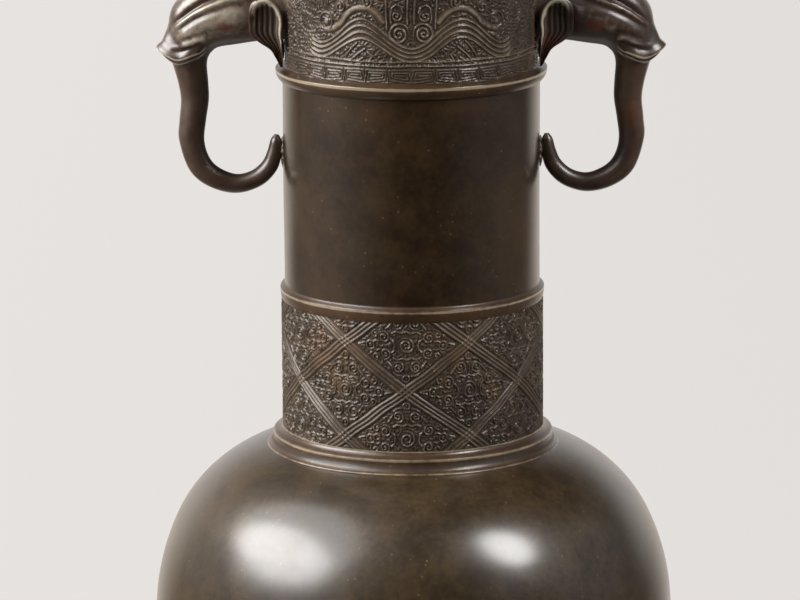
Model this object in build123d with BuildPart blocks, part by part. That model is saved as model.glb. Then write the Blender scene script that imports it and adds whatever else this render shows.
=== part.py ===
from build123d import *
import os
from math import acos, asin, atan2, cos, degrees, pi, radians, sin, sqrt

# Bronze hu vase with a pair of elephant-head handles, cast in sections and put together.
# The frame stands on the foot's rim: +Z is up the vessel's axis and +X points at the right handle.
# All sizes are millimetres.

# Joints between the castings
SOLDER_GAP = 0.1  # film of solder between a spigot and its socket, or a ring and its wall
SPIGOT_LENGTH = 6.0  # how far a section reaches down into the one below
SOCKET_SLACK = 0.6  # room left under a spigot

# Foot, with radii stepped out from the hole under the base plate
FOOT_HEIGHT = 56.0  # standing face to the seat of the belly
PLATE_HOLE_R = 36.0
PLATE_LEDGE = 3.0  # ledge in the foot that carries the plate
PLATE_THICKNESS = 3.0
FOOT_TOP_WALL = 4.5  # wall round the plate, which the foot rib fits over
FOOT_LEDGE = 1.4  # ledge that carries the foot rib
FOOT_WAIST_INSET = 1.5
FOOT_WAIST_Z = 41.0
FOOT_FLARE = 15.4  # from the waist out to the rim's step
FOOT_STEP = 2.6
FOOT_RIM_HEIGHT = 9.0
FOOT_WALL = 5.0

# Belly: a side arc round the equator, a tighter shoulder arc above it and a base arc below it
BELLY_R = 88.2
BELLY_WALL = 4.0
SIDE_ARC_R = 75.8
SHOULDER_ARC_R = 48.3
SHOULDER_TURN = 25.6  # degrees above the equator where the shoulder arc takes over
BASE_ARC_R = 58.0
BASE_TURN = 42.0  # degrees below the equator where the base arc takes over
SHOULDER_SEAT_WIDTH = 5.4  # flat seat round the lower neck, under the collar
BASE_SEAT_WIDTH = 2.1  # flat seat round the foot's top, on the foot rib
SOCKET_LIP = 2.6  # wall of the socket that hangs inside the shoulder

# Neck sections, which share one bore and step out towards the belly
NECK_BORE_R = 38.8
SPIGOT_WALL = 1.5
UPPER_NECK_WALL = 3.2
MIDDLE_NECK_STEP = 1.25
LOWER_NECK_STEP = 0.65
LOWER_NECK_HEIGHT = 50.3
MIDDLE_NECK_HEIGHT = 74.7
UPPER_NECK_HEIGHT = 47.4

# Relief on the lower and the upper neck: its main bands, with angles in degrees from the front
RELIEF_HEIGHT = 0.6  # how far the bands stand out
RELIEF_ROOT = 0.8  # how far they run into the wall
RELIEF_MARGIN = 0.6  # bare strip beside the rings
LOZENGES = 6  # of the lattice, round the lower neck
LOZENGE_HEIGHT = 31.9
LATTICE_RISE = 26.8  # middle row of crossings above the foot of the lower neck
LATTICE_TURN = -3.0  # crossing nearest the front
LATTICE_CROWDING = 0.09  # how much narrower the front lozenges are than the mean
STRAP_WIDTH = 3.9
WAVES = 8  # round the upper neck
WAVE_RISE = 18.75  # middle of the waves above the foot of the upper neck
WAVE_SWING = 4.15
WAVE_WIDTH = 5.8
WAVE_FLAT = 3.0  # degrees of level trough on each side
BORDER_WIDTH = 2.6
BORDER_RISE = 11.5  # middle of the lower border line above the foot of the upper neck
BORDER_DROP = 6.6  # middle of the upper border line below the top of the upper neck
MASKS = 4  # scrolled masks round the upper neck
NOSTRIL_TURN = 5.5
NOSTRIL_RISE = 21.7
NOSTRIL_R = 2.5
SCROLL_TURN = 41.5
SCROLL_RISE = 24.7
SCROLL_R = 2.6
BROW_WIDTH = 1.7
BROW_TURNS = (12.0, 22.0, 34.5)  # inner end, top and outer end of the thick brow beside a mask
BROW_RISES = (25.9, 29.3, 22.8)
MASK_CLEARANCE = 1.0  # bare strip beside the handles' heads

# Raised rings over the joints, each with a leaning face, a narrow crest and a hollow above it
RIB_HEIGHT = 5.4
RIB_CREST_RISE = 3.5  # middle of the crest above the ring's foot
RIB_CREST = 0.5  # height of the crest
RIB_EDGE = 0.4  # flat ring at the top of a hollow
RIB_HOLLOW = 0.33  # how much of the way out and up the middle of a hollow lies
LOWER_RIB_BULGE = 1.5  # crest from the middle neck's wall
LOWER_RIB_LEAN = 0.5  # crest past the ring's foot
UPPER_RIB_BULGE = 3.6  # crest from the upper neck's wall
UPPER_RIB_LEAN = 1.7
MOUTH_RIB_BULGE = 3.4  # crest from the mouth's wall
MOUTH_RIB_LEAN = 1.7
FOOT_RIB_BULGE = 4.9  # crest from the foot's top
FOOT_RIB_LEAN = 1.7
FOOT_RIB_HEIGHT = 6.0
COLLAR_HEIGHT = 6.6
COLLAR_CREST_STAND = 3.6  # crest from the lower neck's wall
COLLAR_CREST_RISE = 4.1  # middle of the crest above the seat

# Mouth
MOUTH_WALL = 2.2
MOUTH_HEIGHT = 27.0
MOUTH_STRAIGHT = 8.0  # upright stretch inside the mouth rib
MOUTH_FLARE = 5.6  # from the wall out to the underside of the lip
LIP_WALL = 3.2  # wall of the flare under the lip
LIP_OVERHANG = 3.4  # how far the lip stands out past the flare
LIP_THICKNESS = 4.6
LIP_ROUNDING = 1.8

# Heads of the handles, at the neck, the cheeks, the brow and the snout: the chin's and the crown's
# reach from the upper neck's wall and rise above its foot, and half the head's width there
HEAD_SECTIONS = (
    (-3.0, 13.4, -3.0, 31.0, 8.0),
    (16.8, 11.8, 18.0, 33.8, 9.8),
    (24.9, 9.4, 33.5, 29.6, 9.4),
    (26.4, 6.8, 40.1, 17.0, 7.2),
)
LIP_RING_R = 8.4  # lip round the root of the trunk
LIP_RING_BEAD = 1.5
LIP_RING_RISE = 9.0
LIP_RING_TILT = 6.0  # degrees up at the snout
LIP_RING_TURN = 250.0  # degrees of ring, open towards the neck
LIP_RING_REACH = 34.0
EAR_LENGTH = 24.5
EAR_WIDTH = 11.0
EAR_THICKNESS = 2.0
EAR_SPLAY = 16.0  # degrees that the back edge swings out
EAR_SIDE = 10.8  # back edge from the handle's middle plane
EAR_SHOULDER = 18.0  # height of the ear's widest place
EAR_RIB_CLEARANCE = 1.5
EAR_NECK_CLEARANCE = 1.0

# Trunks, which hang from the heads and curl back to the middle neck
TRUNK_REACH = 31.9  # from the upper neck's wall to the upright
TRUNK_SWAY = 1.0  # how far the upright bows in towards the neck
TRUNK_ROOT_RISE = 9.0  # where the trunk leaves the head
TRUNK_DROP = 21.5  # from the foot of the upper neck down to the start of the bend
TRUNK_TIP_LENGTH = 3.0
TRUNK_ROOT_R = 6.2
TRUNK_UPPER_R = 4.7
TRUNK_BEND_R = 4.2
TRUNK_LOW_R = 3.2
TRUNK_END_R = 2.4
TRUNK_TIP_R = 1.3
TRUNK_FLAT = 0.7  # depth of the flat filed on the tip's back
SOLDER_THICKNESS = 0.6
SOLDER_HEIGHT = 9.0
SOLDER_WIDTH = 3.4
PAD_GAP = 0.02  # between the solder pad and what it joins

# Pins through the upper neck's wall into the heads
PIN_R = 2.0
PIN_DEPTH = 8.0  # into the head
PIN_RISE = 21.5  # middle of the pair above the foot of the upper neck
PIN_SPACING = 9.0
PIN_HEAD_R = 3.4
PIN_HEAD_HEIGHT = 1.4
PIN_GAP = 0.05


# Radii, stepped out from the bores
spigot_r = NECK_BORE_R + SPIGOT_WALL
socket_r = spigot_r + SOLDER_GAP
socket_lip_r = socket_r + SOCKET_LIP
upper_neck_r = NECK_BORE_R + UPPER_NECK_WALL
middle_neck_r = upper_neck_r + MIDDLE_NECK_STEP
lower_neck_r = middle_neck_r + LOWER_NECK_STEP
mouth_r = NECK_BORE_R + MOUTH_WALL
shoulder_seat_r = lower_neck_r + SHOULDER_SEAT_WIDTH
plate_r = PLATE_HOLE_R + PLATE_LEDGE
foot_top_r = plate_r + FOOT_TOP_WALL
base_seat_r = foot_top_r + BASE_SEAT_WIDTH


def belly_end(arc_r, turn, seat_r, seat_wall, inset):
    """One end of the belly's profile: the side arc as far as a turn, then an arc as far as a flat seat.

    The outside ends at the seat's radius. The inside is drawn in by inset and ends where it comes
    within seat_wall of the seat. Returns the joint of the two arcs, a point half way along the
    second and its end, as radius and height from the equator.
    """
    turn = radians(turn)
    side_centre = BELLY_R - SIDE_ARC_R
    centre_r = side_centre + (SIDE_ARC_R - arc_r) * cos(turn)
    centre_height = (SIDE_ARC_R - arc_r) * sin(turn)
    seat_height = centre_height + arc_r * sin(acos((seat_r - centre_r) / arc_r))
    drawn_r = arc_r - inset
    end_turn = asin((seat_height - seat_wall - centre_height) / drawn_r)
    half_turn = (turn + end_turn) / 2
    joint = (side_centre + (SIDE_ARC_R - inset) * cos(turn), (SIDE_ARC_R - inset) * sin(turn))
    half_way = (centre_r + drawn_r * cos(half_turn), centre_height + drawn_r * sin(half_turn))
    end = (centre_r + drawn_r * cos(end_turn), centre_height + drawn_r * sin(end_turn))
    return joint, half_way, end


# Heights of the joints, stacked up from the standing face
outer_shoulder = belly_end(SHOULDER_ARC_R, SHOULDER_TURN, shoulder_seat_r, 0, 0)
inner_shoulder = belly_end(SHOULDER_ARC_R, SHOULDER_TURN, shoulder_seat_r, BELLY_WALL, BELLY_WALL)
outer_base = belly_end(BASE_ARC_R, BASE_TURN, base_seat_r, 0, 0)
inner_base = belly_end(BASE_ARC_R, BASE_TURN, base_seat_r, BELLY_WALL, BELLY_WALL)
equator_z = FOOT_HEIGHT + outer_base[2][1]
lower_neck_z = equator_z + outer_shoulder[2][1]
middle_neck_z = lower_neck_z + LOWER_NECK_HEIGHT
upper_neck_z = middle_neck_z + MIDDLE_NECK_HEIGHT
mouth_z = upper_neck_z + UPPER_NECK_HEIGHT
top_z = mouth_z + MOUTH_HEIGHT
socket_depth = SPIGOT_LENGTH + SOCKET_SLACK

os.makedirs("parts", exist_ok=True)


# Foot: hollow flared casting on a stepped rim, with a rebate in its top for the plate
foot_ledge_z = FOOT_HEIGHT - FOOT_RIB_HEIGHT
plate_z = FOOT_HEIGHT - PLATE_THICKNESS
waist_r = foot_top_r - FOOT_WAIST_INSET
flare_r = waist_r + FOOT_FLARE
rim_r = flare_r + FOOT_STEP
with BuildPart() as foot:
    with BuildSketch(Plane.XZ):
        with BuildLine():
            TangentArc((waist_r, FOOT_WAIST_Z), (flare_r, FOOT_RIM_HEIGHT), tangent=(0, -1))
            Polyline(
                (flare_r, FOOT_RIM_HEIGHT),
                (rim_r, FOOT_RIM_HEIGHT),
                (rim_r, 0),
                (flare_r - FOOT_WALL, 0),
                (flare_r - FOOT_WALL, FOOT_RIM_HEIGHT),
            )
            TangentArc(
                (waist_r - FOOT_WALL, FOOT_WAIST_Z),
                (flare_r - FOOT_WALL, FOOT_RIM_HEIGHT),
                tangent=(0, -1),
            )
            Polyline(
                (waist_r - FOOT_WALL, FOOT_WAIST_Z),
                (PLATE_HOLE_R, plate_z),
                (plate_r, plate_z),
                (plate_r, FOOT_HEIGHT),
                (foot_top_r, FOOT_HEIGHT),
                (foot_top_r, foot_ledge_z),
                (foot_top_r + FOOT_LEDGE, foot_ledge_z),
                (waist_r, FOOT_WAIST_Z),
            )
        make_face()
    revolve(axis=Axis.Z)
foot.part.label = "foot"
export_step(foot.part, "parts/foot.step")


# Base plate: disc let into the foot's top, under the hole in the belly
with BuildPart() as base_plate:
    with BuildSketch(Plane.XY.offset(plate_z)):
        Circle(plate_r - SOLDER_GAP)
    extrude(amount=PLATE_THICKNESS)
base_plate.part.label = "base_plate"
export_step(base_plate.part, "parts/base_plate.step")


# Belly: one hollow casting, open above and below, with a socket for the neck
def above_equator(point):
    """A point of the belly's upper profile in the vessel's frame."""
    return (point[0], equator_z + point[1])


def below_equator(point):
    """A point of the belly's lower profile in the vessel's frame."""
    return (point[0], equator_z - point[1])


with BuildPart() as belly:
    with BuildSketch(Plane.XZ):
        with BuildLine():
            ThreePointArc(*[below_equator(point) for point in reversed(outer_base)])
            ThreePointArc(
                below_equator(outer_base[0]), (BELLY_R, equator_z), above_equator(outer_shoulder[0])
            )
            ThreePointArc(*[above_equator(point) for point in outer_shoulder])
            Polyline(
                (shoulder_seat_r, lower_neck_z),
                (socket_r, lower_neck_z),
                (socket_r, lower_neck_z - socket_depth),
                (socket_lip_r, lower_neck_z - socket_depth),
                (socket_lip_r, lower_neck_z - BELLY_WALL),
                above_equator(inner_shoulder[2]),
            )
            ThreePointArc(*[above_equator(point) for point in reversed(inner_shoulder)])
            ThreePointArc(
                above_equator(inner_shoulder[0]),
                (BELLY_R - BELLY_WALL, equator_z),
                below_equator(inner_base[0]),
            )
            ThreePointArc(*[below_equator(point) for point in inner_base])
            Polyline(
                below_equator(inner_base[2]),
                (PLATE_HOLE_R, FOOT_HEIGHT + BELLY_WALL),
                (PLATE_HOLE_R, FOOT_HEIGHT),
                (base_seat_r, FOOT_HEIGHT),
            )
        make_face()
    revolve(axis=Axis.Z)
belly.part.label = "belly"
export_step(belly.part, "parts/belly.step")


# Neck sections: tubes, each with a spigot below and a socket above
def neck_section(outer_r, base_z, height):
    """A tube on the section below it, with its spigot reaching down and its own socket on top."""
    top = base_z + height
    with BuildPart() as section:
        with BuildSketch(Plane.XZ):
            with BuildLine():
                Polyline(
                    (NECK_BORE_R, base_z - SPIGOT_LENGTH),
                    (spigot_r, base_z - SPIGOT_LENGTH),
                    (spigot_r, base_z),
                    (outer_r, base_z),
                    (outer_r, top),
                    (socket_r, top),
                    (socket_r, top - socket_depth),
                    (NECK_BORE_R, top - socket_depth),
                    close=True,
                )
            make_face()
        revolve(axis=Axis.Z)
    return section


def on_wall(wall_r, turn, height):
    """A plane that touches a wall at a turn from the front, with x round the wall and y up it."""
    outwards = Vector(sin(turn), -cos(turn), 0)
    return Plane(
        (wall_r * outwards.X, wall_r * outwards.Y, height), x_dir=(cos(turn), sin(turn), 0), z_dir=outwards
    )


# the lattice is made of flat straps, each cut to the drum that the relief fills
with BuildPart() as lattice:
    for number in range(LOZENGES):
        even_turn = radians(LATTICE_TURN + number * 360 / LOZENGES)
        turn = even_turn - LATTICE_CROWDING * sin(even_turn)
        half_lozenge = pi / LOZENGES * (1 - LATTICE_CROWDING * cos(even_turn))
        slope = atan2(LOZENGE_HEIGHT / 2, lower_neck_r * sin(half_lozenge))
        strap_length = (LOWER_NECK_HEIGHT + 2 * STRAP_WIDTH) / sin(slope)
        for lean in (-degrees(slope), degrees(slope)):
            with BuildSketch(on_wall(lower_neck_r, turn, lower_neck_z + LATTICE_RISE)):
                Rectangle(strap_length, STRAP_WIDTH, rotation=lean)
            extrude(amount=lower_neck_r / 2, both=True)
    with BuildSketch(Plane.XY.offset(lower_neck_z + COLLAR_HEIGHT + RELIEF_MARGIN)):
        Circle(lower_neck_r + RELIEF_HEIGHT)
        Circle(lower_neck_r - RELIEF_ROOT, mode=Mode.SUBTRACT)
    extrude(amount=LOWER_NECK_HEIGHT - COLLAR_HEIGHT - 2 * RELIEF_MARGIN, mode=Mode.INTERSECT)

with BuildPart() as lower_neck:
    add(neck_section(lower_neck_r, lower_neck_z, LOWER_NECK_HEIGHT).part)
    add(lattice.part)
lower_neck.part.label = "lower_neck"
export_step(lower_neck.part, "parts/lower_neck.step")

middle_neck = neck_section(middle_neck_r, middle_neck_z, MIDDLE_NECK_HEIGHT)
middle_neck.part.label = "middle_neck"
export_step(middle_neck.part, "parts/middle_neck.step")

# the upper section's relief: a band of waves, border lines, and the brows and scrolls of the masks
def wall_point(turn, rise):
    """A place on a plane on the upper neck's wall, from its turn and height against the plane's own."""
    return (upper_neck_r * sin(turn), rise)


head_half_width = max(half_width for *_, half_width in HEAD_SECTIONS)
wave_end = pi / WAVES
wave_flat = radians(WAVE_FLAT)
with BuildPart() as masks_and_waves:
    for number in range(WAVES):
        crest_turn = (2 * number + 1) * wave_end
        with BuildSketch(on_wall(upper_neck_r, crest_turn, upper_neck_z + WAVE_RISE)):
            with BuildLine():
                for edge in (-WAVE_WIDTH / 2, WAVE_WIDTH / 2):
                    trough = edge - WAVE_SWING
                    left = wall_point(wave_flat - wave_end, trough)
                    right = wall_point(wave_end - wave_flat, trough)
                    crest = wall_point(0, edge + WAVE_SWING)
                    Spline(left, crest, right, tangents=((1, 0), (1, 0)))
                    Line(wall_point(-wave_end - wave_flat, trough), left)
                    Line(right, wall_point(wave_end + wave_flat, trough))
                for end in (-wave_end - wave_flat, wave_end + wave_flat):
                    Line(
                        wall_point(end, -WAVE_WIDTH / 2 - WAVE_SWING),
                        wall_point(end, WAVE_WIDTH / 2 - WAVE_SWING),
                    )
            make_face()
        extrude(amount=upper_neck_r / 2, both=True)
    for number in range(MASKS):
        mask_turn = 2 * pi * number / MASKS
        for side in (-1, 1):
            for scroll_turn, scroll_rise, scroll_r in (
                (NOSTRIL_TURN, NOSTRIL_RISE, NOSTRIL_R),
                (SCROLL_TURN, SCROLL_RISE, SCROLL_R),
            ):
                turn = mask_turn + side * radians(scroll_turn)
                with BuildSketch(on_wall(upper_neck_r, turn, upper_neck_z + scroll_rise)):
                    Circle(scroll_r)
                extrude(amount=upper_neck_r / 2, both=True)
            middle_turn = BROW_TURNS[1]
            with BuildSketch(on_wall(upper_neck_r, mask_turn + side * radians(middle_turn), upper_neck_z)):
                with BuildLine():
                    brow = ThreePointArc(
                        *[
                            wall_point(side * radians(brow_turn - middle_turn), rise)
                            for brow_turn, rise in zip(BROW_TURNS, BROW_RISES)
                        ]
                    )
                SlotArc(brow, BROW_WIDTH)
            extrude(amount=upper_neck_r / 2, both=True)
    for border_rise in (BORDER_RISE, UPPER_NECK_HEIGHT - BORDER_DROP):
        with BuildSketch(Plane.XY.offset(upper_neck_z + border_rise - BORDER_WIDTH / 2)):
            Circle(upper_neck_r + RELIEF_HEIGHT)
        extrude(amount=BORDER_WIDTH)
    with BuildSketch(Plane.XY.offset(upper_neck_z + RIB_HEIGHT)):
        Circle(upper_neck_r + RELIEF_HEIGHT)
        Circle(upper_neck_r - RELIEF_ROOT, mode=Mode.SUBTRACT)
        Rectangle(
            2 * (upper_neck_r + RELIEF_HEIGHT), 2 * (head_half_width + MASK_CLEARANCE), mode=Mode.SUBTRACT
        )
    extrude(amount=UPPER_NECK_HEIGHT - RIB_HEIGHT, mode=Mode.INTERSECT)

# the upper section is drilled on both sides for the handles' pins
pin_heights = {
    "lower": upper_neck_z + PIN_RISE - PIN_SPACING / 2,
    "upper": upper_neck_z + PIN_RISE + PIN_SPACING / 2,
}
with BuildPart() as upper_neck:
    add(neck_section(upper_neck_r, upper_neck_z, UPPER_NECK_HEIGHT).part)
    add(masks_and_waves.part)
    with BuildSketch(Plane.YZ):
        with Locations(*[(0, pin_z) for pin_z in pin_heights.values()]):
            Circle(PIN_R + PIN_GAP)
    extrude(amount=upper_neck_r + PIN_DEPTH, both=True, mode=Mode.SUBTRACT)
upper_neck.part.label = "upper_neck"
export_step(upper_neck.part, "parts/upper_neck.step")


# Mouth: flared casting with a thick flat-topped lip, on the upper neck
flare_base_z = mouth_z + MOUTH_STRAIGHT
lip_z = top_z - LIP_THICKNESS
flare_top_r = mouth_r + MOUTH_FLARE
lip_r = flare_top_r + LIP_OVERHANG
with BuildPart() as mouth:
    with BuildSketch(Plane.XZ):
        with BuildLine():
            TangentArc((mouth_r, flare_base_z), (flare_top_r, lip_z), tangent=(0, 1))
            Polyline(
                (flare_top_r, lip_z), (lip_r, lip_z), (lip_r, top_z), (flare_top_r - LIP_WALL, top_z)
            )
            TangentArc((NECK_BORE_R, flare_base_z), (flare_top_r - LIP_WALL, top_z), tangent=(0, 1))
            Polyline(
                (NECK_BORE_R, flare_base_z),
                (NECK_BORE_R, mouth_z - SPIGOT_LENGTH),
                (spigot_r, mouth_z - SPIGOT_LENGTH),
                (spigot_r, mouth_z),
                (mouth_r, mouth_z),
                (mouth_r, flare_base_z),
            )
        make_face()
    revolve(axis=Axis.Z)
    lip_face = faces().filter_by(GeomType.CYLINDER).sort_by(SortBy.RADIUS)[-1]
    fillet(lip_face.edges().filter_by(GeomType.CIRCLE), LIP_ROUNDING)
mouth.part.label = "mouth"
export_step(mouth.part, "parts/mouth.step")


# Raised rings: a leaning face, a narrow crest and a hollow on each joint, seated on the section below
def hollow_middle(start, end):
    """A point half way along a hollow that leaves start level and meets end upright."""
    return end[0] + RIB_HOLLOW * (start[0] - end[0]), start[1] + RIB_HOLLOW * (end[1] - start[1])


def hollow_ring(wall_r, bulge, lean, base_z, height):
    """A ring round a wall of radius wall_r, whose crest stands out by bulge and past its foot by lean."""
    inner_r = wall_r + SOLDER_GAP
    crest_r = wall_r + bulge
    crest_z = base_z + RIB_CREST_RISE
    start = (crest_r, crest_z + RIB_CREST / 2)
    end = (inner_r + RIB_EDGE, base_z + height)
    with BuildPart() as ring:
        with BuildSketch(Plane.XZ):
            with BuildLine():
                ThreePointArc(start, hollow_middle(start, end), end)
                Polyline(
                    end,
                    (inner_r, base_z + height),
                    (inner_r, base_z),
                    (crest_r - lean, base_z),
                    (crest_r, crest_z - RIB_CREST / 2),
                    start,
                )
            make_face()
        revolve(axis=Axis.Z)
    return ring


for ring_name, ring_wall_r, ring_bulge, ring_lean, ring_z, ring_height in (
    ("foot_rib", foot_top_r, FOOT_RIB_BULGE, FOOT_RIB_LEAN, foot_ledge_z, FOOT_RIB_HEIGHT),
    ("lower_rib", middle_neck_r, LOWER_RIB_BULGE, LOWER_RIB_LEAN, middle_neck_z, RIB_HEIGHT),
    ("upper_rib", upper_neck_r, UPPER_RIB_BULGE, UPPER_RIB_LEAN, upper_neck_z, RIB_HEIGHT),
    ("mouth_rib", mouth_r, MOUTH_RIB_BULGE, MOUTH_RIB_LEAN, mouth_z, RIB_HEIGHT),
):
    rib = hollow_ring(ring_wall_r, ring_bulge, ring_lean, ring_z, ring_height)
    rib.part.label = ring_name
    export_step(rib.part, f"parts/{ring_name}.step")


# Shoulder collar: a hollow over a narrow crest, and under it a hollow face that spreads on to the belly
collar_r = lower_neck_r + SOLDER_GAP
collar_top_z = lower_neck_z + COLLAR_HEIGHT
collar_crest_r = lower_neck_r + COLLAR_CREST_STAND
collar_crest_z = lower_neck_z + COLLAR_CREST_RISE
collar_crest_top = (collar_crest_r, collar_crest_z + RIB_CREST / 2)
collar_crest_base = (collar_crest_r, collar_crest_z - RIB_CREST / 2)
collar_edge = (collar_r + RIB_EDGE, collar_top_z)
with BuildPart() as shoulder_collar:
    with BuildSketch(Plane.XZ):
        with BuildLine():
            ThreePointArc(collar_crest_top, hollow_middle(collar_crest_top, collar_edge), collar_edge)
            Polyline(
                collar_edge,
                (collar_r, collar_top_z),
                (collar_r, lower_neck_z),
                (shoulder_seat_r, lower_neck_z),
            )
            TangentArc(collar_crest_base, (shoulder_seat_r, lower_neck_z), tangent=(0, -1))
            Line(collar_crest_base, collar_crest_top)
        make_face()
    revolve(axis=Axis.Z)
shoulder_collar.part.label = "shoulder_collar"
export_step(shoulder_collar.part, "parts/shoulder_collar.step")


# Right handle: an elephant's head on the upper neck, with its trunk curled back to the middle neck
pad_outer_r = middle_neck_r + SOLDER_THICKNESS
trunk_x = upper_neck_r + TRUNK_REACH
tip_x = pad_outer_r + TRUNK_END_R - TRUNK_FLAT
bend_r = (trunk_x - tip_x) / 2
bend_z = upper_neck_z - TRUNK_DROP
tip_z = bend_z + TRUNK_TIP_LENGTH
root_z = upper_neck_z + TRUNK_ROOT_RISE
with BuildLine(Plane.XZ):
    route = Spline(
        (trunk_x + TRUNK_SWAY, root_z),
        (trunk_x - TRUNK_SWAY, (root_z + bend_z) / 2),
        (trunk_x, bend_z),
        (trunk_x - bend_r, bend_z - bend_r),
        (tip_x, bend_z),
        (tip_x, tip_z),
        tangents=((-TRUNK_SWAY, -bend_r), (0, 1)),
    )
upright = (root_z - bend_z) / route.length
trunk_sections = (
    (0, TRUNK_ROOT_R),
    (upright / 2, TRUNK_UPPER_R),
    (upright, TRUNK_BEND_R),
    ((1 + upright) / 2, TRUNK_LOW_R),
    (1 - TRUNK_TIP_LENGTH / route.length, TRUNK_END_R),
    (1, TRUNK_TIP_R),
)
ear_wall_r = upper_neck_r + RELIEF_HEIGHT + EAR_NECK_CLEARANCE
ear_x = sqrt(ear_wall_r**2 - EAR_SIDE**2)
ear_z = upper_neck_z + RIB_HEIGHT + EAR_RIB_CLEARANCE
splay = radians(EAR_SPLAY)
with BuildPart() as right_handle:
    # head: leaning ovals from the neck round to the snout
    for chin_reach, chin_rise, crown_reach, crown_rise, half_width in HEAD_SECTIONS:
        chin = Vector(upper_neck_r + chin_reach, 0, upper_neck_z + chin_rise)
        crown = Vector(upper_neck_r + crown_reach, 0, upper_neck_z + crown_rise)
        facing = Vector(0, 1, 0).cross(crown - chin)
        with BuildSketch(Plane((chin + crown) / 2, x_dir=crown - chin, z_dir=facing)):
            Ellipse((crown - chin).length / 2, half_width)
    loft()
    # trunk: rounds that narrow along its route, with a rounded tip
    for place, section_r in trunk_sections:
        facing = route % place
        with BuildSketch(Plane(route @ place, x_dir=facing.cross(Vector(0, 1, 0)), z_dir=facing)):
            Circle(section_r)
    loft()
    with Locations(route @ 1):
        Sphere(TRUNK_TIP_R)
    # lip round the trunk's root
    with Locations(
        Location(
            (upper_neck_r + LIP_RING_REACH, 0, upper_neck_z + LIP_RING_RISE), (0, -LIP_RING_TILT, 0)
        )
    ):
        with Locations(Location((0, 0, 0), (0, 0, -LIP_RING_TURN / 2))):
            Torus(LIP_RING_R, LIP_RING_BEAD, major_angle=LIP_RING_TURN)
    # ears: leaves that hang beside the head, clear of the rib
    for side in (-1, 1):
        with BuildSketch(
            Plane(
                (ear_x, side * EAR_SIDE, ear_z),
                x_dir=(cos(splay), -side * sin(splay), 0),
                z_dir=(-side * sin(splay), -cos(splay), 0),
            )
        ):
            with BuildLine():
                Line((0, 0), (0, EAR_SHOULDER))
                ThreePointArc((0, EAR_SHOULDER), (EAR_WIDTH / 2, EAR_LENGTH), (EAR_WIDTH, EAR_SHOULDER))
                TangentArc((EAR_WIDTH, EAR_SHOULDER), (0, 0), tangent=(0, -1))
            make_face()
        extrude(amount=EAR_THICKNESS / 2, both=True)
    # back cut to the neck's wall, tip filed to the solder pad, holes drilled for the pins
    with BuildSketch(Plane.XY.offset(upper_neck_z)):
        Circle(upper_neck_r + SOLDER_GAP)
    extrude(amount=UPPER_NECK_HEIGHT, mode=Mode.SUBTRACT)
    with BuildSketch(Plane.XY.offset(middle_neck_z)):
        Circle(pad_outer_r + PAD_GAP)
    extrude(amount=MIDDLE_NECK_HEIGHT, mode=Mode.SUBTRACT)
    with BuildSketch(Plane.YZ):
        with Locations(*[(0, pin_z) for pin_z in pin_heights.values()]):
            Circle(PIN_R + PIN_GAP)
    extrude(amount=upper_neck_r + PIN_DEPTH + PIN_GAP, mode=Mode.SUBTRACT)
right_handle.part.label = "right_handle"
export_step(right_handle.part, "parts/right_handle.step")


# Right trunk's solder: a thin pad between the tip and the plain neck
pad_z = tip_z + TRUNK_TIP_R - SOLDER_HEIGHT
with BuildPart() as right_trunk_solder:
    with BuildSketch(Plane.XY.offset(pad_z)):
        Circle(pad_outer_r)
        Circle(middle_neck_r + PAD_GAP, mode=Mode.SUBTRACT)
        with Locations((pad_outer_r, 0)):
            Rectangle(2 * middle_neck_r, SOLDER_WIDTH, mode=Mode.INTERSECT)
    extrude(amount=SOLDER_HEIGHT)
right_trunk_solder.part.label = "right_trunk_solder"
export_step(right_trunk_solder.part, "parts/right_trunk_solder.step")


# Right handle's pins: rivets driven from inside the neck, with domed heads
pin_back_x = sqrt(NECK_BORE_R**2 - PIN_HEAD_R**2) - PIN_GAP
right_pins = {}
for pin_name, pin_z in pin_heights.items():
    with BuildPart() as right_pin:
        with BuildSketch(Plane.XZ):
            with BuildLine():
                TangentArc(
                    (pin_back_x - PIN_HEAD_HEIGHT, pin_z),
                    (pin_back_x, pin_z + PIN_HEAD_R),
                    tangent=(0, 1),
                )
                Polyline(
                    (pin_back_x, pin_z + PIN_HEAD_R),
                    (pin_back_x, pin_z + PIN_R),
                    (upper_neck_r + PIN_DEPTH, pin_z + PIN_R),
                    (upper_neck_r + PIN_DEPTH, pin_z),
                    (pin_back_x - PIN_HEAD_HEIGHT, pin_z),
                )
            make_face()
        revolve(axis=Axis((0, 0, pin_z), (1, 0, 0)))
    right_pin.part.label = f"right_{pin_name}_pin"
    export_step(right_pin.part, f"parts/right_{pin_name}_pin.step")
    right_pins[pin_name] = right_pin


# Left handle with its solder and pins: the right one's mirror image
for left_name, right_piece in (
    ("left_handle", right_handle),
    ("left_trunk_solder", right_trunk_solder),
    ("left_lower_pin", right_pins["lower"]),
    ("left_upper_pin", right_pins["upper"]),
):
    with BuildPart() as left_piece:
        mirror(right_piece.part, about=Plane.YZ)
    left_piece.part.label = left_name
    export_step(left_piece.part, f"parts/{left_name}.step")

print(f"height {top_z:.2f} equator {equator_z:.2f} collar {lower_neck_z:.2f}")
print(f"lower rib {middle_neck_z:.2f} upper rib {upper_neck_z:.2f} mouth rib {mouth_z:.2f}")
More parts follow.
